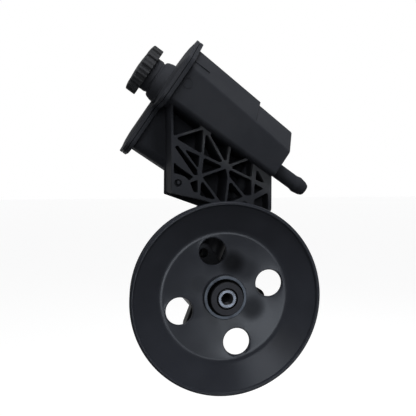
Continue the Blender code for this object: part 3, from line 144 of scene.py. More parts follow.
def grown(outline: Sequence[Point], distance: float) -> Outline:
    """Return an anticlockwise outline with every side moved outwards by a distance."""
    count = len(outline)
    moved = []
    for index in range(count):
        here = Vector(outline[index])
        before = (here - Vector(outline[index - 1])).normalized()
        after = (Vector(outline[(index + 1) % count]) - here).normalized()
        normal = Vector((before.y, -before.x)) + Vector((after.y, -after.x))
        moved.append(tuple(here + normal * (2.0 * distance / max(normal.length_squared, 0.3))))
    return moved


def eased(path: Sequence[tuple[float, ...]], closed: bool = True, steps: int = 4) -> Outline:
    """Round the corners of a path.

    Args:
        path: Corners; a third number is the corner's radius.
        closed: Whether the last corner joins the first.
        steps: How many straight pieces stand for each rounded corner.

    Returns:
        The points of the rounded path.
    """
    count = len(path)
    points: Outline = []
    for index, corner in enumerate(path):
        here = Vector(corner[:2])
        end = not closed and index in (0, count - 1)
        if len(corner) < 3 or corner[2] <= 0.0 or end:
            points.append(tuple(here))
            continue
        back = Vector(path[index - 1][:2]) - here
        ahead = Vector(path[(index + 1) % count][:2]) - here
        half = back.angle(ahead) / 2.0
        reach = min(corner[2] / math.tan(half), 0.48 * back.length, 0.48 * ahead.length)
        radius = reach * math.tan(half)
        middle = here + (back.normalized() + ahead.normalized()).normalized() * radius / math.sin(half)
        spoke = here + back.normalized() * reach - middle
        sweep = (math.pi - 2.0 * half) * (-1.0 if back.cross(ahead) > 0.0 else 1.0)
        for step in range(steps + 1):
            points.append(tuple(middle + Matrix.Rotation(sweep * step / steps, 2) @ spoke))
    return points


def corners(outline: Sequence[Point], radius: float | Sequence[float], steps: int = 4) -> Outline:
    """Return an outline with its corners rounded by one radius, or by one for each."""
    radii = [radius] * len(outline) if isinstance(radius, float) else radius
    return eased([(x, y, r) for (x, y), r in zip(outline, radii)], True, steps)


# Number sockets in plain arithmetic


@dataclass(frozen=True)
class Wire:
    """A number in a material, which takes part in plain arithmetic."""

    graph: Graph
    socket: bpy.types.NodeSocket

    def _with(self, operation: str, other: Wire | float, swapped: bool = False) -> Wire:
        """Return the Math node's result on this number and another."""
        left, right = (other, self) if swapped else (self, other)
        return self.graph.math(operation, left, right)

    def __add__(self, other: Wire | float) -> Wire:
        """Return the sum."""
        return self._with("ADD", other)

    __radd__ = __add__

    def __sub__(self, other: Wire | float) -> Wire:
        """Return the difference."""
        return self._with("SUBTRACT", other)

    def __rsub__(self, other: Wire | float) -> Wire:
        """Return the difference, this number taken from the other."""
        return self._with("SUBTRACT", other, True)

    def __mul__(self, other: Wire | float) -> Wire:
        """Return the product."""
        return self._with("MULTIPLY", other)

    __rmul__ = __mul__

    def over(self, low: float, high: float) -> Wire:
        """Return 0 below low, 1 above high and a smooth step between."""
        return self.graph.step(self, low, high)


class Graph:
    """The nodes of one material."""

    def __init__(self, name: str) -> None:
        """Make an empty material.

        Args:
            name: The material's name.
        """
        self.material = bpy.data.materials.new(name)
        self.material.use_nodes = True
        self.tree = self.material.node_tree
        self.shader = self.tree.nodes["Principled BSDF"]

    def feed(self, socket: bpy.types.NodeSocket, value: object) -> None:
        """Link a value to a socket, or set the socket's own value."""
        if isinstance(value, Wire):
            self.tree.links.new(value.socket, socket)
        elif isinstance(value, bpy.types.NodeSocket):
            self.tree.links.new(value, socket)
        else:
            socket.default_value = value

    def node(self, kind: str, settings: Inputs | None = None,
             inputs: dict[str | int, object] | None = None) -> bpy.types.Node:
        """Add a node.

        Args:
            kind: The node's type.
            settings: Its own settings, set first; stops are a ramp's positions and colours.
            inputs: Values or links of its sockets.

        Returns:
            The node.
        """
        made = self.tree.nodes.new(kind)
        for key, value in (settings or {}).items():
            if key == "stops":
                elements = made.color_ramp.elements
                for index, (position, shade) in enumerate(value):
                    element = elements[index] if index < 2 else elements.new(position)
                    element.position = position
                    element.color = (shade, shade, shade, 1.0)
            else:
                setattr(made, key, value)
        for key, value in (inputs or {}).items():
            self.feed(made.inputs[key], value)
        return made

    def math(self, operation: str, left: Wire | float, right: Wire | float) -> Wire:
        """Return the result of a Math node."""
        made = self.node("ShaderNodeMath", {"operation": operation}, {0: left, 1: right})
        return Wire(self, made.outputs[0])

    def step(self, value: Wire, low: float, high: float) -> Wire:
        """Return a smooth step of a value between two limits."""
        made = self.node("ShaderNodeMapRange", {"interpolation_type": "SMOOTHSTEP"},
                         {"Value": value, "From Min": low, "From Max": high})
        return Wire(self, made.outputs["Result"])

    def vector(self, operation: str, inputs: dict[str | int, object]) -> bpy.types.Node:
        """Return a Vector Math node."""
        return self.node("ShaderNodeVectorMath", {"operation": operation}, inputs)

    def place(self) -> bpy.types.NodeSocket:
        """Return the place on the piece, in metres."""
        return self.node("ShaderNodeTexCoord").outputs["Object"]

    def noise(self, per_metre: float, detail: float = 2.0, where: bpy.types.NodeSocket | None = None,
              rough: float = 0.5) -> Wire:
        """Return soft noise.

        Args:
            per_metre: Its scale.
            detail: How many finer layers it has.
            where: The place to read it at, or the place on the piece.
            rough: How strong the finer layers are.

        Returns:
            The noise, from 0 to 1.
        """
        made = self.node("ShaderNodeTexNoise", None, {"Vector": where or self.place(), "Scale": per_metre,
                                                      "Detail": detail, "Roughness": rough})
        return Wire(self, made.outputs["Fac"])

    def from_axis(self, centre: Vector, axis: Vector) -> Wire:
        """Return the distance from an axis, in metres."""
        local = self.vector("SUBTRACT", {0: self.place(), 1: centre}).outputs[0]
        along = self.vector("DOT_PRODUCT", {0: local, 1: axis}).outputs["Value"]
        foot = self.vector("SCALE", {0: axis, "Scale": along}).outputs[0]
        out = self.vector("SUBTRACT", {0: local, 1: foot}).outputs[0]
        return Wire(self, self.vector("LENGTH", {0: out}).outputs["Value"])

    def along(self, axis: Sequence[float]) -> Wire:
        """Return how far the place on the piece lies along an axis, in metres."""
        return Wire(self, self.vector("DOT_PRODUCT", {0: self.place(), 1: Vector(axis)}).outputs["Value"])

    def from_point(self, centre: Sequence[float]) -> Wire:
        """Return the distance from a point, in metres."""
        return Wire(self, self.vector("DISTANCE", {0: self.place(), 1: Vector(centre)}).outputs["Value"])

    def colour(self, mask: Wire, low: Sequence[float] | bpy.types.NodeSocket,
               high: Sequence[float] | bpy.types.NodeSocket) -> bpy.types.NodeSocket:
        """Return the mix of two colours by a mask."""
        low, high = (tint if isinstance(tint, bpy.types.NodeSocket) else (*tint, 1.0) for tint in (low, high))
        made = self.node("ShaderNodeMix", {"data_type": "RGBA"}, {0: mask, 6: low, 7: high})
        return made.outputs[2]

    def bump(self, height: Wire, depth: float, strength: float = 1.0,
             below: bpy.types.NodeSocket | None = None) -> bpy.types.NodeSocket:
        """Return the normal of a surface with a height on it.

        Args:
            height: The height, from 0 to 1.
            depth: What 1 stands for, in metres.
            strength: How strongly it shows.
            below: The normal of a coarser bump that it lies on.

        Returns:
            The normal.
        """
        inputs: dict[str | int, object] = {"Height": height, "Distance": depth, "Strength": strength}
        if below is not None:
            inputs["Normal"] = below
        return self.node("ShaderNodeBump", None, inputs).outputs["Normal"]

    def dress(self, **inputs: object) -> bpy.types.Material:
        """Set the shader's sockets and return the material. Names take spaces for underscores."""
        for key, value in inputs.items():
            self.feed(self.shader.inputs[key.replace("_", " ")], value)
        return self.material


# Finishes


@dataclass(frozen=True)
class Finish:
    """A finish: a slot's name, and the material that shows it."""

    slot: str
    name: str

    def make(self) -> bpy.types.Material:
        """Build the material."""
        raise NotImplementedError

    def material(self) -> bpy.types.Material:
        """Return the material, built the first time it is asked for."""
        return bpy.data.materials.get(self.name) or self.make()


@dataclass(frozen=True)
class Patch:
    """An area of another shade, bounded by pairs of parallel planes."""

    shade: tuple[float, float, float]
    slabs: tuple[tuple[tuple[float, float, float], tuple[float, float], tuple[float, float]], ...]

    def on(self, graph: Graph, base: bpy.types.NodeSocket) -> bpy.types.NodeSocket:
        """Return a colour with this patch laid on it.

        Args:
            graph: The material's nodes.
            base: The colour under the patch.

        Returns:
            The colour.
        """
        mask: Wire | float = 1.0
        for axis, (first, full), (still, last) in self.slabs:
            place = graph.along(axis)
            mask = place.over(first, full) * (1.0 - place.over(still, last)) * mask
        return graph.colour(mask, base, self.shade)


@dataclass(frozen=True)
class MouldedNylon(Finish):
    """Black glass-filled nylon: a satin moulded skin with cloudy gloss and a fine spark-eroded grain."""

    dark: tuple[float, float, float] = (0.0190, 0.0205, 0.0245)
    pale: tuple[float, float, float] = (0.0230, 0.0245, 0.0285)
    gloss: float = 0.58
    sheen: float = 0.008
    grain: float = 1900.0
    grain_depth: float = 0.000012
    patches: tuple[Patch, ...] = ()

    def make(self) -> bpy.types.Material:
        """Build the material."""
        graph = Graph(self.name)
        cloud = graph.noise(34.0, 3.0)
        grain = graph.noise(self.grain, 2.0, rough=0.6)
        flow = graph.noise(210.0, 2.0)
        rough = self.gloss + (cloud - 0.5) * 0.16 + (grain - 0.5) * 0.10
        below = graph.bump(flow, 0.00004, 0.5)
        base = graph.colour(cloud.over(0.35, 0.7), self.dark, self.pale)
        for patch in self.patches:
            base = patch.on(graph, base)
        return graph.dress(Base_Color=base, Roughness=rough, Specular_IOR_Level=self.sheen,
                           Normal=graph.bump(grain, self.grain_depth, 0.8, below))


@dataclass(frozen=True)
class SatinPaint(Finish):
    """Black paint on pressed steel: faint orange peel over soft waves, with painted shade in soft dark
    patches round the hub, where the paint is also duller.

    Each patch of painted shade is its centre, its reach and its strength.
    """

    dark: tuple[float, float, float] = (0.0150, 0.0165, 0.0210)
    pale: tuple[float, float, float] = (0.0210, 0.0230, 0.0290)
    gloss: float = 0.24
    hub_shade_spots: tuple[tuple[tuple[float, float, float], float, float], ...] = (
        ((0.006, WEB_FACE, 0.029), 0.015, 0.85), ((0.018, WEB_FACE, 0.023), 0.015, 0.35),
        ((0.024, WEB_FACE, -0.010), 0.014, 0.40), ((-0.022, WEB_FACE, 0.012), 0.012, 0.22))

    def make(self) -> bpy.types.Material:
        """Build the material."""
        graph = Graph(self.name)
        cloud = graph.noise(18.0, 3.0)
        peel = graph.noise(1100.0, 1.0)
        dust = graph.noise(3800.0, 2.0).over(0.66, 0.74)
        rough = self.gloss + (cloud - 0.5) * 0.14 + dust * 0.12
        below = graph.bump(graph.noise(55.0, 1.0), 0.00022, 0.35)
        base = graph.colour(cloud.over(0.3, 0.75), self.dark, self.pale)
        # Painted shade: soft dark patches on the web round the hub stand for the shade and dark reflection
        # that the hub gives there.
        for centre, reach, strength in self.hub_shade_spots:
            hub_shade_amount = (1.0 - graph.from_point(centre).over(0.25 * reach, reach)) * strength
            base = graph.colour(hub_shade_amount, base, (0.0015, 0.0017, 0.0020))
            rough = rough + hub_shade_amount * 0.5
        return graph.dress(Base_Color=base, Roughness=rough, Normal=graph.bump(peel, 0.000014, 0.6, below),
                           Specular_IOR_Level=0.03)


@dataclass(frozen=True)
class TurnedSteel(Finish):
    """Turned or ground steel, with fine rings round its axis.

    Where a land is given, the steel is pale between its two radii and darker beside them, and behind
    the face that groove names it carries painted shade, coloured black as the shade in the groove.
    """

    shade: tuple[float, float, float] = (0.55, 0.56, 0.58)
    stain: tuple[float, float, float] = (0.34, 0.34, 0.35)
    gloss: float = 0.30
    centre: tuple[float, float, float] = (0.0, 0.0, 0.0)
    axis: tuple[float, float, float] = (0.0, 1.0, 0.0)
    rings: float = 5200.0
    metal: float = 1.0
    land: tuple[float, float] = (0.0, 0.0)
    groove: float = 0.0

    def make(self) -> bpy.types.Material:
        """Build the material."""
        graph = Graph(self.name)
        radius = graph.from_axis(Vector(self.centre), Vector(self.axis))
        made = graph.node("ShaderNodeTexNoise", {"noise_dimensions": "1D"},
                          {"W": radius * self.rings, "Scale": 1.0, "Detail": 2.0})
        rings = Wire(graph, made.outputs["Fac"])
        cloud = graph.noise(160.0, 3.0)
        rough = self.gloss + (rings - 0.5) * 0.22 + (cloud - 0.5) * 0.12
        base = graph.colour(cloud.over(0.45, 0.75), self.shade, self.stain)
        if self.land[1]:
            near, far = self.land
            beside = 1.0 - radius.over(near, near + 0.0003) + radius.over(far, far + 0.0003)
            dim_tone_and_groove_shade = (0.010, 0.010, 0.011)
            if self.groove:
                # Painted shade: below the face that groove names, the colour turns black, standing for the
                # shade in the hub's groove.
                raised = graph.along((0.0, -1.0, 0.0)).over(self.groove - 0.001, self.groove)
                dim_tone_and_groove_shade = graph.colour(raised, (0.001, 0.001, 0.001), dim_tone_and_groove_shade)
            base = graph.colour(beside, base, dim_tone_and_groove_shade)
        return graph.dress(Base_Color=base, Roughness=rough, Metallic=self.metal,
                           Normal=graph.bump(rings, 0.00001, 0.5))


@dataclass(frozen=True)
class CastAlloy(Finish):
    """Die-cast aluminium, painted black: a dull cast skin with fine pits and darker patches."""

    shade: tuple[float, float, float] = (0.0075, 0.0080, 0.0095)
    stain: tuple[float, float, float] = (0.0045, 0.0050, 0.0058)
    gloss: float = 0.52

    def make(self) -> bpy.types.Material:
        """Build the material."""
        graph = Graph(self.name)
        cloud = graph.noise(70.0, 4.0)
        skin = graph.noise(1500.0, 3.0, rough=0.65)
        pits = 1.0 - graph.noise(620.0, 1.0).over(0.62, 0.72) * 0.8
        rough = self.gloss + (skin - 0.5) * 0.2 + (cloud - 0.5) * 0.1
        base = graph.colour(cloud.over(0.4, 0.7), self.shade, self.stain)
        return graph.dress(Base_Color=base, Roughness=rough, Metallic=0.2, Specular_IOR_Level=0.05,
                           Normal=graph.bump(skin * pits, 0.00006, 0.55))


@dataclass(frozen=True)
class PlainSteel(Finish):
    """Unturned steel, sintered iron or bronze: fine speckle and a soft sheen."""

    shade: tuple[float, float, float] = (0.30, 0.31, 0.33)
    stain: tuple[float, float, float] = (0.20, 0.20, 0.21)
    gloss: float = 0.38
    speckle: float = 2600.0

    def make(self) -> bpy.types.Material:
        """Build the material."""
        graph = Graph(self.name)
        speckle = graph.noise(self.speckle, 2.0)
        cloud = graph.noise(120.0, 3.0)
        mask = speckle.over(0.45, 0.62) * 0.5 + cloud.over(0.4, 0.7) * 0.5
        rough = self.gloss + (cloud - 0.5) * 0.2
        return graph.dress(Base_Color=graph.colour(mask, self.shade, self.stain), Metallic=0.95,
                           Roughness=rough, Normal=graph.bump(speckle, 0.00001, 0.4))


@dataclass(frozen=True)
class MouldedRubber(Finish):
    """Black nitrile rubber."""

    def make(self) -> bpy.types.Material:
        """Build the material."""
        graph = Graph(self.name)
        bloom = graph.noise(300.0, 3.0)
        base = graph.colour(bloom.over(0.4, 0.8), (0.010, 0.010, 0.011), (0.022, 0.022, 0.023))
        return graph.dress(Base_Color=base, Roughness=0.72 + (bloom - 0.5) * 0.2,
                           Normal=graph.bump(bloom, 0.00001, 0.3))


# Painted light: the ribs just under the tank are coloured paler, to lift the shadow that the tank casts on
# them.
RIB_PAINTED_LIGHT = Patch((0.058, 0.061, 0.066), ((ACROSS_TANK, (0.088, 0.104), (0.1086, 0.1090)),
                                           ((0.0, 1.0, 0.0), (-0.0125, -0.0110), (-0.006, -0.003)),
                                           ((1.0, 0.0, 0.0), (-0.036, -0.030), (0.05, 0.051))))
NYLON = MouldedNylon("black_nylon", "tank_nylon", patches=(RIB_PAINTED_LIGHT,))
COVER_NYLON = MouldedNylon("black_nylon", "cover_nylon", (0.0240, 0.0255, 0.0300), (0.0300, 0.0315, 0.0360),
                           0.5, sheen=0.004)
CAP_NYLON = MouldedNylon("cap_nylon", "cap_moulding", (0.026, 0.027, 0.029), (0.036, 0.037, 0.040), 0.5,
                         sheen=0.01)
PAINT = SatinPaint("painted_steel", "pulley_paint")
HUB_STEEL = TurnedSteel("hub_steel", "blackened_hub", (0.028, 0.031, 0.036), (0.020, 0.022, 0.026), 0.58,
                        land=(0.0153, 0.0190), groove=0.0335)
SHAFT_STEEL = TurnedSteel("shaft_steel", "ground_shaft", (0.040, 0.043, 0.049), (0.027, 0.029, 0.033), 0.42,
                          land=(0.0047, 0.0070))
VALVE_STEEL = TurnedSteel("bright_steel", "fitting_steel", (0.20, 0.205, 0.21), (0.15, 0.15, 0.155), 0.34,
                          (0.033, 0.0435, 0.0), (0.0, 0.0, 1.0))
PLATE_STEEL = TurnedSteel("bright_steel", "end_plate_steel", (0.19, 0.195, 0.20), (0.155, 0.155, 0.16), 0.38)
BOLT_STEEL = PlainSteel("bright_steel", "bolt_steel", (0.18, 0.18, 0.175), (0.13, 0.13, 0.125), 0.42)
SPRING_STEEL = PlainSteel("spring_steel", "spring_wire")
IRON = PlainSteel("sintered_iron", "sintered_parts", (0.17, 0.17, 0.18), (0.10, 0.10, 0.105), 0.5)
BRONZE = PlainSteel("bronze", "bush_bronze", (0.42, 0.27, 0.12), (0.30, 0.18, 0.08), 0.42)
ALLOY = CastAlloy("cast_aluminium", "cast_alloy")
RUBBER = MouldedRubber("rubber", "seal_rubber")


# Shapes under construction


class Shape:
    """A mesh under construction in a local frame, in millimetres."""

    def __init__(self) -> None:
        """Start with an empty mesh."""
        self.bm = bmesh.new()

    def spin(self, profile: Sequence[Point], steps: int = 96, closed: bool = True) -> Shape:
        """Turn a section about local Z.

        Args:
            profile: Radius and height of its points; an open one starts and ends on the axis or at an edge.
            steps: How many steps make the turn.
            closed: Whether the last point joins the first.

        Returns:
            This shape.
        """
        verts = [self.bm.verts.new((radius, 0.0, height)) for radius, height in profile]
        edges = [self.bm.edges.new(pair) for pair in zip(verts, verts[1:])]
        if closed:
            edges.append(self.bm.edges.new((verts[-1], verts[0])))
        bmesh.ops.spin(self.bm, geom=[*verts, *edges], cent=(0, 0, 0), axis=(0, 0, 1), dvec=(0, 0, 0),
                       angle=math.tau, steps=steps, use_merge=True, use_duplicate=False)
        on_axis = [vert for vert in self.bm.verts if vert.co.xy.length < 1e-4]
        bmesh.ops.remove_doubles(self.bm, verts=on_axis, dist=1e-3)
        stray = [edge for edge in self.bm.edges if not edge.link_faces]
        bmesh.ops.delete(self.bm, geom=stray, context="EDGES")
        return self

    def loop(self, outline: Sequence[Point], height: float) -> list[bmesh.types.BMVert]:
        """Return a new closed loop of vertices and edges."""
        verts = [self.bm.verts.new((x, y, height)) for x, y in outline]
        for near, far in zip(verts, verts[1:] + verts[:1]):
            self.bm.edges.new((near, far))
        return verts

    def edges_of(self, verts: list[bmesh.types.BMVert]) -> list[bmesh.types.BMEdge]:
        """Return the edges of a closed loop."""
        return [self.bm.edges.get(pair) for pair in zip(verts, verts[1:] + verts[:1])]

    def carry(self, verts: list[bmesh.types.BMVert], outline: Sequence[Point],
              height: float) -> list[bmesh.types.BMVert]:
        """Extrude a closed loop and set the new loop on an outline.

        Args:
            verts: The loop.
            outline: Where its new vertices go, in the same order.
            height: Their height.

        Returns:
            The new loop.
        """
        made = bmesh.ops.extrude_edge_only(self.bm, edges=self.edges_of(verts))["geom"]
        fresh = {tuple(item.co): item for item in made if isinstance(item, bmesh.types.BMVert)}
        following = [fresh[tuple(vert.co)] for vert in verts]
        for vert, (x, y) in zip(following, outline):
            vert.co = (x, y, height)
        return following

    def cap(self, verts: list[bmesh.types.BMVert]) -> None:
        """Close a loop with one face."""
        bmesh.ops.contextual_create(self.bm, geom=self.edges_of(verts))

    def loft(self, sections: Sequence[tuple[float, Sequence[Point]]], start: bool = True,
             end: bool = True) -> Shape:
        """Extrude an outline through a stack of sections.

        Args:
            sections: The height and outline of each, all with as many points.
            start: Whether the first is closed with a face.
            end: Whether the last is.

        Returns:
            This shape.
        """
        height, outline = sections[0]
        verts = self.loop(outline, height)
        if start:
            self.cap(verts)
        for height, outline in sections[1:]:
            verts = self.carry(verts, outline, height)
        if end:
            self.cap(verts)
        return self

    def stack(self, outline: Sequence[Point], stations: Sequence[Station]) -> Shape:
        """Extrude an outline through stations of height and growth, closed at both ends."""
        return self.loft([(height, grown(outline, growth)) for height, growth in stations])

    def plate(self, outline: Sequence[Point], stations: Sequence[Station],
              holes: Sequence[tuple[Sequence[Point], Sequence[Station], bool]], wall: bool = True) -> Shape:
        """Extrude a plate with holes and pockets.

        Args:
            outline: Its edge, anticlockwise.
            stations: Height and growth of the edge, from the face with the holes to the back.
            holes: Each one's outline, its stations, and whether it goes through.
            wall: Whether the plate's edge has a wall.

        Returns:
            This shape.
        """
        front = [self.loop(grown(outline, stations[0][1]), stations[0][0])]
        front += [self.loop(grown(edge, levels[0][1]), levels[0][0]) for edge, levels, _ in holes]
        self.fill(front)
        if wall:
            verts = front[0]
            for height, growth in stations[1:]:
                verts = self.carry(verts, grown(outline, growth), height)
        else:
            verts = self.loop(grown(outline, stations[-1][1]), stations[-1][0])
        back = [verts]
        for verts, (edge, levels, through) in zip(front[1:], holes):
            for height, growth in levels[1:]:
                verts = self.carry(verts, grown(edge, growth), height)
            if through:
                back.append(verts)
            else:
                self.cap(verts)
        self.fill(back)
        return self

    def fill(self, loops: Iterable[list[bmesh.types.BMVert]]) -> None:
        """Fill the flat area between loops."""
        edges = [edge for verts in loops for edge in self.edges_of(verts)]
        bmesh.ops.triangle_fill(self.bm, use_beauty=True, use_dissolve=False, edges=edges)

    def absorb(self, other: Shape) -> Shape:
        """Add another shape's mesh to this one and return this one."""
        spare = bpy.data.meshes.new("spare")
        other.bm.to_mesh(spare)
        other.bm.free()
        self.bm.from_mesh(spare)
        bpy.data.meshes.remove(spare)
        return self

    def weld(self, distance: float = 0.002) -> Shape:
        """Merge vertices that meet and return this shape."""
        bmesh.ops.remove_doubles(self.bm, verts=self.bm.verts, dist=distance)
        return self

    def moved(self, matrix: Matrix) -> Shape:
        """Move the mesh within its frame and return this shape."""
        bmesh.ops.transform(self.bm, matrix=matrix, verts=self.bm.verts)
        return self

    def piece(self, name: str, place: Place, finish: Finish, body: Body,
              sharp: float = 38.0) -> bpy.types.Object:
        """Finish the mesh as a piece of the object.

        Args:
            name: The piece's name.
            place: The frame that it was modelled in.
            finish: Its finish.
            body: The body that it rides on.
            sharp: Edges that turn by more degrees than this stay crisp.

        Returns:
            The piece's object.
        """
        bmesh.ops.transform(self.bm, matrix=place.matrix(), verts=self.bm.verts)
        bmesh.ops.recalc_face_normals(self.bm, faces=self.bm.faces)
        mesh = bpy.data.meshes.new(name)
        self.bm.to_mesh(mesh)
        self.bm.free()
        made = bpy.data.objects.new(name, mesh)
        bpy.context.scene.collection.objects.link(made)
        mesh.materials.append(finish.material())
        mesh.shade_smooth()
        mesh.set_sharp_from_angle(angle=math.radians(sharp))
        weighted = made.modifiers.new("flat_faces", "WEIGHTED_NORMAL")
        weighted.keep_sharp = True
        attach(made, body.value)
        LOG.info("%s: %d faces", name, len(mesh.polygons))
        return made


def edge_break(front: float, back: float, size: float, ends: str = "both") -> list[Station]:
    """Return stations of a straight wall with rounded edges.

    Args:
        front: The height of its first end.
        back: The height of its other end.
        size: The radius of the rounding.
        ends: Which ends are rounded: both, front or back.

    Returns:
        The stations.
    """
    way = 1.0 if back > front else -1.0
    quarter = [(0.0, -size), (0.293 * size, -0.293 * size), (size, 0.0)]
    near = [(front + way * depth, growth) for depth, growth in quarter]
    far = [(back - way * depth, growth) for depth, growth in reversed(quarter)]
    if ends == "front":
        far = [(back, 0.0)]
    if ends == "back":
        near = [(front, 0.0)]
    return near + far


def hole_break(front: float, back: float, size: float, through: bool = True,
               draft: float = 0.0) -> list[Station]:
    """Return stations of a hole with rounded rims, which narrows by a draft on its way in."""
    way = 1.0 if back > front else -1.0
    quarter = [(0.0, size), (0.293 * size, 0.293 * size), (size, 0.0)]
    near = [(front + way * depth, growth) for depth, growth in quarter]
    if not through:
        return [*near, (back, -draft)]
    return near + [(back - way * depth, growth - draft) for depth, growth in reversed(quarter)]


# Sub-assemblies


@dataclass
class Pulley:
    """Pressed sheave with poly-V grooves, and the hub welded into its web."""

    web_front: float = 27.0
    sheet: float = 2.6
    flat: float = 52.0
    lip_centre: Point = (78.6, 36.9)
    lip_radius: float = 1.8
    land: float = 77.4
    root: float = 74.6
    first_groove: float = 35.7
    pitch: float = 3.56
    grooves: int = 5
    bore: float = 15.7
    hole: float = 11.3
    hole_circle: float = 39.7
    hole_turn: float = 15.0
    steps: int = 192

    def build(self) -> None:
        """Make both pieces."""
        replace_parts(self.sheave(), "pulley_sheave")
        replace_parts(self.hub(), "pulley_hub")

    def rim(self) -> Outline:
        """Return the section of the dish and the belt rim, from the web's front face to its back."""
        across, front = self.lip_centre
        bend = ((0.0, 0.0), (1.5, 0.08), (3.0, 0.33), (4.5, 0.75), (6.0, 1.33))
        path: list[tuple[float, ...]] = [(self.flat + out, self.web_front + rise) for out, rise in bend]
        path.append((across - self.lip_radius + 0.1, front - 0.3, 0.8))
        for step in range(11):
            angle = math.pi * (1.0 - step / 10.0)
            out, up = self.lip_radius * math.cos(angle), self.lip_radius * math.sin(angle)
            path.append((across + out, front + up))
        path += [(79.8, 36.0, 0.6), (self.land, 35.9, 0.5)]
        for groove in range(self.grooves):
            middle = self.first_groove - self.pitch * (groove + 0.5)
            path += [(self.land, middle + 1.50, 0.25), (self.root, middle + 0.43, 0.3),
                     (self.root, middle - 0.43, 0.3), (self.land, middle - 1.50, 0.25)]
        path += [(78.4, 17.4, 0.3), (78.4, 16.3, 0.5), (73.0, 15.5, 0.6), (72.2, 16.4, 0.6),
                 (72.2, 31.9, 2.0), (54.3, self.web_front - self.sheet, 3.0),
                 (self.flat, self.web_front - self.sheet)]
        return eased(path, False, 5)

    def sheave(self) -> bpy.types.Object:
        """Return the sheave."""
        shape = Shape().spin(self.rim(), self.steps, False)
        back = self.web_front - self.sheet
        centres = [turned([(self.hole_circle, 0.0)], self.hole_turn + 90.0 * index)[0] for index in range(4)]
        wall = hole_break(self.web_front, back, 1.1)
        holes = [(ring(self.hole, 72, centre), wall, True) for centre in centres]
        holes.append((ring(self.bore, 96), hole_break(self.web_front, back, 0.3), True))
        web = Shape().plate(ring(self.flat, self.steps), [(self.web_front, 0.0), (back, 0.0)], holes, False)
        return shape.absorb(web).weld().piece("sheave", Place.SHAFT, PAINT, Body.PULLEY)

    def hub(self) -> bpy.types.Object:
        """Return the hub."""
        path = [(8.8, 35.9, 0.4), (13.9, 35.9, 0.6), (13.9, 32.4, 0.3), (11.9, 32.1, 0.5), (11.9, 28.9, 0.6),
                (15.4, 28.9, 0.4), (15.4, 30.3, 0.5), (18.5, 30.3, 0.9), (18.5, 27.3), (15.0, 27.3),
                (15.0, 11.4, 0.8), (8.8, 11.4, 0.5)]
        return Shape().spin(eased(path)).piece("hub", Place.SHAFT, HUB_STEEL, Body.PULLEY)


@dataclass
class Shaft:
    """Drive shaft with a tapped jacking hole in its end, and a spline that carries the rotor."""

    tip: float = 35.7
    radius: float = 8.5
    hole: float = 4.3
    thread: float = 0.55
    pitch: float = 1.25

    def build(self) -> None:
        """Make the shaft."""
        path: list[tuple[float, ...]] = [(0.0, 9.2), (self.hole, 11.7)]
        turns = int((self.tip - 1.2 - 12.2) / self.pitch)
        for index in range(turns):
            foot = 12.2 + self.pitch * index
            path += [(self.hole, foot), (self.hole - self.thread, foot + 0.45),
                     (self.hole - self.thread, foot + 0.6), (self.hole, foot + 1.05)]
        path += [(self.hole, self.tip - 0.9), (self.hole + 0.9, self.tip, 0.15),
                 (self.radius - 0.8, self.tip, 0.3), (self.radius, self.tip - 0.8, 0.3), (self.radius, 11.1),
                 (8.0, 10.6), (8.0, -29.1), (6.4, -29.9), (6.4, -46.2), (5.2, -46.3), (5.2, -47.8),
                 (6.2, -47.8), (6.2, -50.0, 0.6), (0.0, -50.0)]
        shape = Shape().spin(eased(path, False), 72, False)
        pitch = math.tau / 14
        teeth: Outline = []
        for tooth in range(14):
            for share, out in ((0.08, 6.2), (0.26, 7.1), (0.50, 7.1), (0.68, 6.2)):
                angle = pitch * (tooth + share)
                teeth.append((out * math.cos(angle), out * math.sin(angle)))
        shape.absorb(Shape().stack(teeth, [(-29.5, 0.0), (-46.1, 0.0)]))
        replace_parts(shape.piece("shaft", Place.SHAFT, SHAFT_STEEL, Body.PULLEY), "drive_shaft")


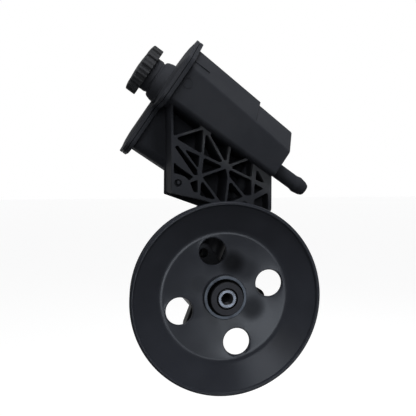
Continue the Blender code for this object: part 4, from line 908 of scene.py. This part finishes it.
@dataclass
class Housing:
    """Die-cast housing: barrel and nose, mounting ears, inlet boss, valve boss and reservoir lug."""

    barrel: float = 26.5
    root: float = 25.0
    nose: float = 17.0
    pump_bore: float = 23.4
    end: float = -65.8
    ear_angles: tuple[float, ...] = (-12.0, 110.0, 236.0)
    ear_circle: float = 36.0
    ear_radius: float = 8.6
    ear_hole: float = 4.2
    ear_thickness: float = 12.0

    def build(self) -> None:
        """Make the casting."""
        shape = self.turned_body()
        for angle in self.ear_angles:
            shape.absorb(self.ear(angle))
        shape.absorb(self.lug())
        spots = ((self.inlet_boss(), Place.NOZZLE), (self.valve_boss(), Place.VALVE))
        for boss, place in spots:
            shape.absorb(boss.moved(Place.SHAFT.matrix().inverted() @ place.matrix()))
        casting = shape.piece("casting", Place.SHAFT, ALLOY, Body.PUMP, 34.0)
        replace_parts(casting, "pump_housing")

    def turned_body(self) -> Shape:
        """Return the barrel with its bores."""
        path = [(14.0, 9.0, 0.4), (self.nose, 9.0, 0.8), (self.nose, 0.0, 1.2), (self.barrel, 0.0, 1.0),
                (self.barrel, self.end, 1.0), (self.pump_bore, self.end, 0.4), (self.pump_bore, -63.1),
                (24.7, -63.1), (24.7, -61.0), (self.pump_bore, -61.0), (self.pump_bore, -26.0, 0.4),
                (10.5, -26.0), (10.5, -2.5), (14.0, -2.5, 0.3)]
        return Shape().spin(eased(path), 128)

    def ear(self, angle: float) -> Shape:
        """Return one mounting ear."""
        root = arc(self.root, [28.5 - 9.5 * step for step in range(7)])
        reach = math.radians(77.4)
        nose = [(self.ear_circle + self.ear_radius * math.cos(a), self.ear_radius * math.sin(a))
                for a in (-reach + 2.0 * reach * step / 20.0 for step in range(21))]
        outline = turned(root + nose, angle)
        hole = ring(self.ear_hole, 40, turned([(self.ear_circle, 0.0)], angle)[0])
        return Shape().plate(anticlockwise(outline), edge_break(-0.05, -self.ear_thickness, 0.7),
                             [(hole, hole_break(-0.05, -self.ear_thickness, 0.4), True)])

    def lug(self) -> Shape:
        """Return the lug that the bracket is bolted to."""
        root = arc(self.root, [142.0 - 11.2 * step for step in range(11)])
        head = eased([root[-1], (35.4, 35.8, 6.0), (35.4, 55.4, 6.0), (-26.2, 55.4, 6.0), (-26.2, 33.8, 6.0),
                      root[0]], False, 6)
        outline = anticlockwise(root[1:-1] + head)
        holes = [(ring(3.1, 32, spot), hole_break(-25.5, -33.5, 0.3), True) for spot in BRACKET_BOLTS]
        return Shape().plate(outline, edge_break(-25.5, -33.5, 0.8), holes)

    def inlet_boss(self) -> Shape:
        """Return the boss that the suction nozzle plugs into."""
        path = [(0.0, -38.0), (9.5, -38.0), (8.5, 12.0, 0.8), (5.95, 12.0, 0.6), (5.95, -0.6), (2.7, -1.0),
                (2.7, -14.0), (0.0, -14.0)]
        return Shape().spin(eased(path, False), 64, False)

    def valve_boss(self) -> Shape:
        """Return the boss with the flow control valve's bore."""
        path = [(0.0, -24.0), (10.5, -24.0, 1.4), (10.5, 38.0, 0.3), (10.05, 38.0), (10.05, 36.2),
                (8.2, 36.2), (8.2, 25.7), (6.5, 25.7), (6.5, -18.0), (0.0, -18.0)]
        return Shape().spin(eased(path, False), 72, False)


@dataclass
class Outlet:
    """Outlet fitting, screwed into the valve boss."""

    foot: float = 19.9
    seat: float = 38.3
    across: float = 19.0
    port: float = 6.95
    bore: float = 4.0

    def build(self) -> None:
        """Make the fitting."""
        path: list[tuple[float, ...]] = [(self.bore, self.foot), (5.3, self.foot), (5.3, 25.9)]
        for index in range(8):
            base = 26.2 + 1.35 * index
            path += [(7.3, base), (7.9, base + 0.45), (7.9, base + 0.7), (7.3, base + 1.15)]
        path += [(7.3, 37.6), (self.port, 37.8), (self.port, 53.3, 0.8), (self.bore + 1.4, 53.3),
                 (self.bore, 51.9, 0.3)]
        shape = Shape().spin(eased(path), 72)
        flats = ring(self.across / math.sqrt(3.0), 6)
        corner = corners(flats, 1.0, 3)
        stations = [(46.3, -1.2), (45.3, 0.0), (self.seat + 0.5, 0.0), (self.seat, -0.7)]
        hexagon = Shape().plate(corner, stations, [(ring(6.6, 48), [(46.3, 0.0), (self.seat, 0.0)], True)])
        shape.absorb(hexagon)
        fitting = shape.piece("outlet", Place.VALVE, VALVE_STEEL, Body.PUMP, 25.0)
        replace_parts(fitting, "outlet_fitting")


@dataclass
class Truss:
    """Ribbed bracket moulded on the reservoir: a pocket between every pair of ribs."""

    front: float = 9.0
    floor: float = -22.3
    rib: float = 2.1
    fillet: float = 1.3
    nodes: dict[str, Point] = field(default_factory=lambda: {
        "wall_top": (-41.0, 164.0), "wall_mid": (-41.0, 133.0), "shelf_left": (-12.9, 141.9),
        "fork": (-14.9, 118.0), "crossing": (6.2, 108.5), "crossing_low": (8.0, 99.2),
        "knot": (-16.9, 100.5), "shelf_mid": (9.6, 129.0),
        "shelf_right": (27.2, 116.6), "shelf_end": (30.9, 113.0), "right_knot": (29.2, 97.8),
        "right_wall": (42.5, 90.5), "foot_right": (29.3, 82.7), "foot_mid": (22.7, 82.3),
        "foot_centre": (5.1, 76.8),
        "foot_left": (0.4, 77.6), "foot_corner": (-18.3, 83.4), "foot_edge": (10.0, 76.5)})
    pockets: tuple[tuple[str, ...], ...] = (
        ("wall_top", "wall_mid", "shelf_left"), ("wall_mid", "fork", "shelf_left"),
        ("shelf_left", "fork", "crossing"),
        ("fork", "knot", "crossing"), ("shelf_left", "crossing", "shelf_mid"),
        ("shelf_mid", "crossing", "shelf_right"),
        ("crossing", "right_knot", "shelf_end", "shelf_right"),
        ("crossing", "crossing_low", "foot_mid", "foot_right", "right_knot"),
        ("crossing_low", "foot_centre", "foot_edge", "foot_mid"),
        ("knot", "foot_left", "foot_centre", "crossing_low", "crossing"),
        ("knot", "foot_corner", "foot_left"))
    open_pockets: tuple[tuple[Point, ...], ...] = (
        ((-31.0, 123.8), (-18.7, 106.8), (-17.7, 117.8)),
        ((-39.1, 125.6), (-22.4, 101.7), (-19.4, 101.1), (-19.6, 105.9), (-36.2, 126.4)),
        ((-39.7, 112.6), (-39.7, 103.0), (-35.7, 102.4), (-29.3, 99.8), (-26.6, 96.6), (-22.9, 100.0),
         (-36.2, 109.2)),
        ((-25.9, 95.3), (-22.9, 87.7), (-19.3, 86.0), (-19.3, 97.5)),
        ((33.0, 107.5), (32.2, 97.6), (40.4, 94.2)),
        ((31.1, 94.4), (30.9, 84.6), (39.4, 89.9)),
        ((16.7, 77.1), (26.1, 74.9), (24.8, 77.5), (22.1, 79.0)))
    panel: tuple[Point, ...] = ((31.1, 80.5), (30.2, 72.0), (43.6, 71.0), (43.3, 86.4))
    outline: tuple[Point, ...] = ((-42.0, 86.6), (-19.0, 81.4), (2.0, 75.2), (24.0, 70.5), (46.7, 68.0),
                                  (46.7, 103.0), (-42.0, 166.0))
    back_outline: tuple[Point, ...] = ((-43.4, 85.0), (-12.8, 74.0), (-26.2, 64.0), (-26.2, 37.8),
                                       (35.4, 37.8), (35.4, 64.0), (46.5, 69.0), (46.5, 102.5),
                                       (-42.6, 165.5))
    screw: Point = (-36.2, 94.9)
    bolts: tuple[Point, ...] = BRACKET_BOLTS

    def build(self) -> Shape:
        """Return the bracket's mesh."""
        holes = []
        for names in self.pockets:
            outline = anticlockwise([self.nodes[name] for name in names])
            holes.append(corners(grown(outline, -self.rib / 2.0), self.fillet, 3))
        holes += [corners(anticlockwise(outline), 0.8, 3) for outline in self.open_pockets]
        stations = hole_break(self.front, self.floor, 0.35, False, 0.45)
        cuts = [(outline, stations, False) for outline in holes]
        panel = corners(anticlockwise(self.panel), 1.2, 3)
        cuts.append((panel, hole_break(self.front, -7.0, 0.3, False, 0.2), False))
        cuts.append((ring(3.2, 32, self.screw), hole_break(self.front, 4.5, 0.3, False, 0.1), False))
        edge = corners(self.outline, [2.0, 0.0, 0.0, 0.0, 4.0, 0.0, 0.0], 5)
        shape = Shape().plate(edge, edge_break(self.front, -24.8, 0.45), cuts)
        back = corners(self.back_outline, [1.0, 0.0, 4.0, 5.0, 5.0, 4.0, 0.0, 0.0, 0.0], 5)
        bores = [(ring(3.4, 32, spot), hole_break(-22.45, -25.2, 0.2), True) for spot in self.bolts]
        shape.absorb(Shape().plate(back, edge_break(-22.45, -25.2, 0.4), bores))
        shape.absorb(Shape().stack(ring(1.5, 24, (-35.6, 95.3)), [(8.7, -0.3), (8.4, 0.0), (4.6, 0.0)]))
        for left, right, top in ((-26.0, -23.4, 64.0), (32.6, 35.2, 72.0)):
            side = [(left, 39.3), (right, 39.3), (right, top), (left, top)]
            shape.absorb(Shape().stack(side, edge_break(-6.4, -23.4, 0.4, "front")))
        return shape


@dataclass
class Reservoir:
    """Moulded tank with its side chamber, flange, bracket, suction nozzle and return barb."""

    top: float = 130.0
    bottom: float = 18.9
    step: float = 59.3
    step_depth: float = 3.0
    wall: float = 3.0
    truss: Truss = field(default_factory=Truss)

    def section(self, height: float, inset: float = 0.0, stepped: bool = False) -> Outline:
        """Return the main chamber's outline at a height."""
        share = (self.top - height) / (self.top - self.bottom)
        shelf, face = 109.4 - 0.6 * share, 143.0 - 8.6 * share
        nose = 166.6 - 6.2 * share - (self.step_depth if stepped else 0.0)
        path = [(shelf, -18.0), (face, -18.0), (nose, 13.0), (nose, 27.0), (face, 58.0), (shelf, 58.0)]
        radii = [max(radius - inset, 1.0) for radius in (4.0, 3.0, 5.0, 5.0, 3.0, 3.0)]
        return corners(grown(path, -inset), radii, 6)

    def wing(self, height: float, inset: float = 0.0) -> Outline:
        """Return the side chamber's outline at a height."""
        side = 64.2 + 1.5 * (self.top - height) / 68.0 + inset
        path = [(side, 22.0 + inset), (110.4, 22.0 + inset), (110.4, 57.0 - inset), (side, 57.0 - inset)]
        bend = max(8.0 - inset, 1.0)
        return corners(path, [bend, 0.0, 0.0, bend], 8)

    def build(self) -> None:
        """Make the moulding."""
        shape = self.chambers()
        shape.absorb(self.flange())
        shape.absorb(self.marks())
        tank = Place.TANK.matrix().inverted()
        shape.absorb(self.truss.build().moved(tank @ Place.SHAFT.matrix()))
        shape.absorb(self.nozzle().moved(tank @ Place.NOZZLE.matrix()))
        shape.absorb(self.barb().moved(tank @ Place.BARB.matrix()))
        moulding = shape.piece("reservoir_moulding", Place.TANK, NYLON, Body.PUMP, 32.0)
        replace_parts(moulding, "reservoir_body")

    def chambers(self) -> Shape:
        """Return both chambers, with their inner walls."""
        rim = 131.0
        low = self.step - 0.8
        outer = [(self.bottom, self.section(self.bottom, 1.2, True)),
                 (self.bottom + 0.4, self.section(self.bottom, 0.4, True)),
                 (self.bottom + 1.4, self.section(self.bottom + 1.4, 0.0, True)),
                 (low, self.section(low, 0.0, True)), (low + 0.3, self.section(low, 0.0, True)),
                 (self.step, self.section(self.step)),
                 (rim, self.section(self.top))]
        inner = [(rim, self.section(self.top, self.wall)),
                 (self.bottom + self.wall, self.section(self.bottom, self.wall, True))]
        shape = Shape().loft(outer + inner)
        outer = [(62.0, grown(self.wing(62.0), -2.2)), (62.6, grown(self.wing(62.6), -0.9)),
                 (64.2, self.wing(64.2)), (rim, self.wing(self.top))]
        inner = [(rim, self.wing(self.top, self.wall)), (62.0 + self.wall, self.wing(62.0, self.wall))]
        return shape.absorb(Shape().loft(outer + inner))

    def flange(self) -> Shape:
        """Return the flange round both chambers."""
        return Shape().plate(lid_outline(6.0), edge_break(133.5, self.top, 0.5),
                             [(lid_outline(-2.6), [(133.5, 0.0), (self.top, 0.0)], True)])

    def marks(self) -> Shape:
        """Return the raised seam on the upper facet and the date ring on the front."""
        seam = [(149.9, -8.1), (150.5, -7.3), (151.2, -7.8), (150.6, -8.6)]
        shape = Shape().stack(seam, edge_break(113.5, 129.8, 0.1))
        date = Shape().spin([(3.9, -0.3), (4.5, -0.3), (4.5, 0.3), (3.9, 0.3)], 48)
        face = Matrix.Translation((129.6, -18.0, 124.5)) @ Matrix.Rotation(math.pi / 2.0, 4, "X")
        return shape.absorb(date.moved(face))

    def nozzle(self) -> Shape:
        """Return the suction nozzle, in its own frame."""
        path = [(2.7, 0.0, 0.3), (5.0, 0.0, 0.6), (5.0, 4.0), (3.83, 4.0), (3.83, 6.4), (5.0, 6.4),
                (5.0, 64.0), (2.7, 64.0)]
        return Shape().spin(eased(path), 64)

    def barb(self) -> Shape:
        """Return the return hose barb, in its own frame."""
        path = [(4.6, 2.0), (6.9, 2.0), (6.9, -29.0, 1.0), (7.7, -32.2, 0.5), (7.7, -33.7, 0.8),
                (6.7, -39.2, 0.8), (5.5, -41.8, 0.4), (4.9, -42.4, 0.3), (4.6, -42.2, 0.2)]
        return Shape().spin(eased(path), 72)


def lid_outline(growth: float) -> Outline:
    """Return the outline of both flanges, grown by a lip."""
    side = 64.2 - max(growth, 0.0) * 0.2
    path = [(109.4, -18.0), (143.0, -18.0), (166.6, 13.0), (166.6, 27.0), (143.0, 58.0), (side, 58.0),
            (side, 22.0), (109.4, 22.0)]
    return corners(grown(path, growth), [8.0, 8.0, 10.0, 10.0, 8.0, 12.0, 12.0, 6.0], 8)


@dataclass
class Cover:
    """Welded cover with a crowned top and the filler neck."""

    rim: float = 133.8
    crown: float = 138.7
    neck: float = 15.3
    neck_bore: float = 12.5
    neck_end: float = 160.7

    def build(self) -> None:
        """Make the cover."""
        shape = self.shell()
        spun = Shape().spin(self.neck_section(), 96)
        shape.absorb(spun.moved(Place.TANK.matrix().inverted() @ Place.NECK.matrix()))
        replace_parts(shape.piece("cover", Place.TANK, COVER_NYLON, Body.PUMP, 30.0), "reservoir_cover")

    def shell(self) -> Shape:
        """Return the rim and the dome."""
        shape = Shape()
        eye = ring(18.0, 64, (124.9, 20.0))
        verts = foot = shape.loop(lid_outline(5.6), self.rim)
        for height, growth in ((self.rim + 0.3, 6.0), (136.3, 6.0), (136.7, 5.6), (136.7, 3.6), (136.9, 2.8),
                               (137.4, 1.4), (138.2, -2.6), (self.crown, -8.0)):
            verts = shape.carry(verts, lid_outline(growth), height)
        upper = shape.loop(eye, self.crown)
        shape.fill([verts, upper])
        under = shape.loop(lid_outline(-3.0), self.rim)
        shape.fill([foot, under])
        roof = shape.carry(under, lid_outline(-9.0), 135.8)
        lower = shape.carry(upper, eye, 135.8)
        shape.fill([roof, lower])
        return shape

    def neck_section(self) -> Outline:
        """Return the section of the filler neck."""
        path = [(self.neck_bore, 134.1), (19.8, 134.1), (19.8, 138.9, 0.4), (18.8, 139.5, 0.4),
                (18.6, 141.4, 1.5), (17.4, 145.4, 2.0), (16.3, 147.0, 1.0), (14.7, 147.5, 0.3),
                (14.7, 148.8, 0.3), (self.neck, 149.2, 0.3),
                (self.neck, self.neck_end, 0.6), (self.neck_bore, self.neck_end, 0.4)]
        return eased(path)


@dataclass
class FillerCap:
    """Lobed filler cap with its plug."""

    radius: float = 22.5
    grip: float = 1.7
    lobes: int = 15
    first: float = 4.9
    skirt: float = 154.7
    edge: float = 163.8
    top: float = 166.3

    def build(self) -> None:
        """Make the cap."""
        shape = self.crown()
        path = [(3.5, 148.3), (11.8, 148.3, 0.6), (11.8, 150.3), (9.9, 150.3), (9.9, 153.1), (11.8, 153.1),
                (11.8, 162.4), (3.5, 162.4)]
        shape.absorb(Shape().spin(eased(path), 64))
        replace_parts(shape.piece("cap", Place.NECK, CAP_NYLON, Body.CAP, 28.0), "filler_cap")

    def lobed(self, shrink: float, share: float = 1.0) -> Outline:
        """Return the cap's edge, drawn in by a length and with its grooves at a share of their depth."""
        points: Outline = []
        per_lobe = ((0.0, 0.5), (0.04, 0.06), (0.09, 0.0), (0.15, 0.03), (0.22, 0.25), (0.30, 0.32),
                    (0.38, 0.25), (0.45, 0.03), (0.51, 0.0), (0.57, 0.08), (0.62, 0.55), (0.67, 0.95),
                    (0.73, 1.0), (0.90, 1.0), (0.96, 0.93))
        for lobe in range(self.lobes):
            for place, dip in per_lobe:
                radius = self.radius - shrink - self.grip * share * dip
                angle = math.tau * (lobe + place) / self.lobes + math.radians(self.first)
                points.append((radius * math.cos(angle), radius * math.sin(angle)))
        return points

    def crown(self) -> Shape:
        """Return the lobed crown with its skirt."""
        count = len(self.lobed(0.0))
        sections = [(self.skirt, self.lobed(0.5)), (self.skirt + 0.2, self.lobed(0.15)),
                    (self.skirt + 0.6, self.lobed(0.0)), (self.edge - 0.5, self.lobed(0.0)),
                    (self.edge, self.lobed(0.25)), (self.edge + 0.35, self.lobed(0.8, 0.9)),
                    (self.edge + 0.75, self.lobed(1.8, 0.7)), (self.edge + 1.2, self.lobed(3.6, 0.4))]
        sections += [(self.edge + rise, ring(radius, count))
                     for rise, radius in ((1.6, 16.6), (1.3, 16.1), (1.75, 12.0), (2.3, 6.0))]
        sections.append((self.top, ring(0.6, count)))
        shape = Shape()
        verts = foot = shape.loop(sections[0][1], sections[0][0])
        for height, outline in sections[1:]:
            verts = shape.carry(verts, outline, height)
        shape.cap(verts)
        verts = shape.loop(ring(15.9, count), self.skirt)
        shape.fill([foot, verts])
        verts = shape.carry(verts, ring(15.9, count), 161.0)
        shape.cap(verts)
        return shape


@dataclass
class Bolts:
    """Two flange bolts that hold the bracket."""

    spots: tuple[Point, ...] = BRACKET_BOLTS
    across: float = 10.0

    def build(self) -> None:
        """Make both bolts."""
        for side, spot in zip(("left", "right"), self.spots):
            flats = turned(ring(self.across / math.sqrt(3.0), 6), 30.0)
            outline = corners([(x + spot[0], y + spot[1]) for x, y in flats], 0.5, 3)
            shape = Shape().stack(outline, [(-18.1, -0.9), (-18.5, -0.2), (-19.0, 0.0), (-22.1, 0.0)])
            shape.absorb(Shape().stack(ring(2.8, 32, spot), [(-20.0, 0.0), (-32.5, 0.0), (-33.1, -0.5)]))
            bolt = shape.piece("bolt_" + side, Place.SHAFT, BOLT_STEEL, Body.PUMP, 25.0)
            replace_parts(bolt, "reservoir_bolt_" + side)


@dataclass
class Interior:
    """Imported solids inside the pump, which keep their shape and get their finish here."""

    finishes: dict[str, Finish] = field(default_factory=lambda: {
        "rotor": IRON, "rotor_retaining_ring": SPRING_STEEL, "cam_ring": PLATE_STEEL,
        "front_pressure_plate": IRON, "rear_pressure_plate": IRON, "locating_pin_upper": PLATE_STEEL,
        "locating_pin_lower": PLATE_STEEL,
        "pressure_plate_spring": SPRING_STEEL, "end_plate": PLATE_STEEL, "end_plate_o_ring": RUBBER,
        "end_plate_snap_ring": SPRING_STEEL, "shaft_seal": RUBBER, "front_bush": BRONZE,
        "flow_control_valve": VALVE_STEEL, "flow_control_spring": SPRING_STEEL, "outlet_o_ring": RUBBER,
        "cap_seal": RUBBER, "dipstick": CAP_NYLON, "suction_o_ring": RUBBER})

    def dress(self, nodes: dict[str, bpy.types.Object]) -> None:
        """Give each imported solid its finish.

        Args:
            nodes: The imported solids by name.
        """
        finishes = dict(self.finishes)
        finishes.update({f"vane_{number:02d}": PLATE_STEEL for number in range(1, 11)})
        for name, finish in finishes.items():
            nodes[name].material_slots[0].material = finish.material()
            LOG.info("%s: dressed as %s", name, finish.name)


@dataclass
class Studio:
    """Camera, lamps, pale floor and white surroundings."""

    spot: tuple[float, float, float] = (-0.1219, -0.5083, 0.1004)
    right: tuple[float, float, float] = (0.9759, -0.2181, 0.0)
    up: tuple[float, float, float] = (0.0114, 0.0511, 0.9986)
    back: tuple[float, float, float] = (-0.2178, -0.9746, 0.0523)
    lens: float = 51.92
    ambient: float = 0.13
    floor: float = -0.36

    def build(self) -> None:
        """Set up the camera, the light and the floor."""
        self.camera()
        self.surroundings()
        self.ground()
        self.lamp("key", (0.16, -0.60, 1.20), (0.0, 0.0, 0.03), 0.7, 20.0)
        self.lamp("front_fill", (-0.22, -1.05, 0.34), (0.0, 0.0, 0.0), 0.4, 3.0)
        for name, spot, size, power in (("gleam_low", (0.35, -1.03, -0.32), 0.24, 12.5),
                                        ("gleam_high", (-0.04, -1.05, 0.36), 0.30, 6.0)):
            gleam = self.lamp(name, spot, (0.0, 0.0, 0.0), size, power)
            gleam.data.color = (0.84, 0.91, 1.0)
            gleam.visible_diffuse = False
        self.lamp("back_rim", (0.6, 1.1, 0.9), (0.0, 0.0, 0.05), 0.8, 3.5)
        bpy.context.scene.view_settings.view_transform = "Standard"

    def camera(self) -> None:
        """Place the camera where the photograph was taken from."""
        data = bpy.data.cameras.new("camera")
        data.lens, data.sensor_width = self.lens, 36.0
        data.clip_start, data.clip_end = 0.01, 50.0
        made = bpy.data.objects.new("camera", data)
        columns = Matrix((self.right, self.up, self.back)).transposed()
        made.matrix_world = Matrix.Translation(self.spot) @ columns.to_4x4()
        bpy.context.scene.collection.objects.link(made)
        bpy.context.scene.camera = made

    def lamp(self, name: str, spot: tuple[float, float, float], target: tuple[float, float, float],
             size: float, power: float) -> bpy.types.Object:
        """Add a soft square lamp.

        Args:
            name: Its name.
            spot: Where it stands.
            target: What it points at.
            size: Its side, in metres.
            power: Its power, in watts.

        Returns:
            The lamp.
        """
        data = bpy.data.lights.new(name, "AREA")
        data.shape, data.size, data.energy = "SQUARE", size, power
        made = bpy.data.objects.new(name, data)
        made.location = spot
        made.rotation_euler = (Vector(target) - Vector(spot)).to_track_quat("-Z", "Y").to_euler()
        bpy.context.scene.collection.objects.link(made)
        return made

    def surroundings(self) -> None:
        """Light the object softly from all round, and show white to the camera and in reflections."""
        world = bpy.data.worlds.new("surroundings")
        world.use_nodes = True
        bpy.context.scene.world = world
        tree = world.node_tree
        path = tree.nodes.new("ShaderNodeLightPath")
        seen = self.seen(tree, path)
        soft = tree.nodes.new("ShaderNodeBackground")
        soft.inputs["Color"].default_value = (0.93, 0.96, 1.0, 1.0)
        soft.inputs["Strength"].default_value = self.ambient
        white = tree.nodes.new("ShaderNodeBackground")
        white.inputs["Color"].default_value = (1.0, 1.0, 1.0, 1.0)
        mix = tree.nodes.new("ShaderNodeMixShader")
        tree.links.new(seen, mix.inputs["Fac"])
        tree.links.new(soft.outputs[0], mix.inputs[1])
        tree.links.new(white.outputs[0], mix.inputs[2])
        tree.links.new(mix.outputs[0], tree.nodes["World Output"].inputs["Surface"])

    @staticmethod
    def seen(tree: bpy.types.NodeTree, path: bpy.types.Node) -> bpy.types.NodeSocket:
        """Return a socket that is 1 for what the camera sees, directly or in gloss or glass."""
        total = path.outputs["Is Camera Ray"]
        for kind in ("Is Glossy Ray", "Is Transmission Ray"):
            add = tree.nodes.new("ShaderNodeMath")
            add.operation, add.use_clamp = "ADD", True
            tree.links.new(total, add.inputs[0])
            tree.links.new(path.outputs[kind], add.inputs[1])
            total = add.outputs[0]
        return total

    def ground(self) -> None:
        """Lay a wide pale floor under the object, which hangs above it."""
        shape = Shape()
        bmesh.ops.create_grid(shape.bm, x_segments=1, y_segments=1, size=12.0)
        bmesh.ops.translate(shape.bm, vec=(0.0, 0.0, self.floor), verts=shape.bm.verts)
        mesh = bpy.data.meshes.new("floor")
        shape.bm.to_mesh(mesh)
        shape.bm.free()
        made = bpy.data.objects.new("floor", mesh)
        bpy.context.scene.collection.objects.link(made)
        graph = Graph("pale_floor")
        graph.dress(Base_Color=(0.25, 0.25, 0.25, 1.0), Roughness=0.9)
        path = graph.node("ShaderNodeLightPath")
        seen = self.seen(graph.tree, path)
        white = graph.node("ShaderNodeEmission", None, {"Strength": 0.85})
        mix = graph.node("ShaderNodeMixShader", None, {0: seen, 1: graph.shader.outputs[0]})
        add = graph.node("ShaderNodeAddShader", None, {0: graph.shader.outputs[0], 1: white.outputs[0]})
        graph.tree.links.new(add.outputs[0], mix.inputs[2])
        graph.tree.links.new(mix.outputs[0], graph.tree.nodes["Material Output"].inputs["Surface"])
        mesh.materials.append(graph.material)


def main() -> None:
    """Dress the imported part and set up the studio."""
    logging.basicConfig(level=logging.INFO, format="%(name)s: %(message)s")
    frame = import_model()
    assemblies = [Pulley(), Shaft(), Housing(), Outlet(), Reservoir(), Cover(), FillerCap(), Bolts()]
    for assembly in assemblies:
        LOG.info("building %s", type(assembly).__name__)
        assembly.build()
    Interior().dress(frame["nodes"])
    Studio().build()


if __name__ == "__main__":
    main()
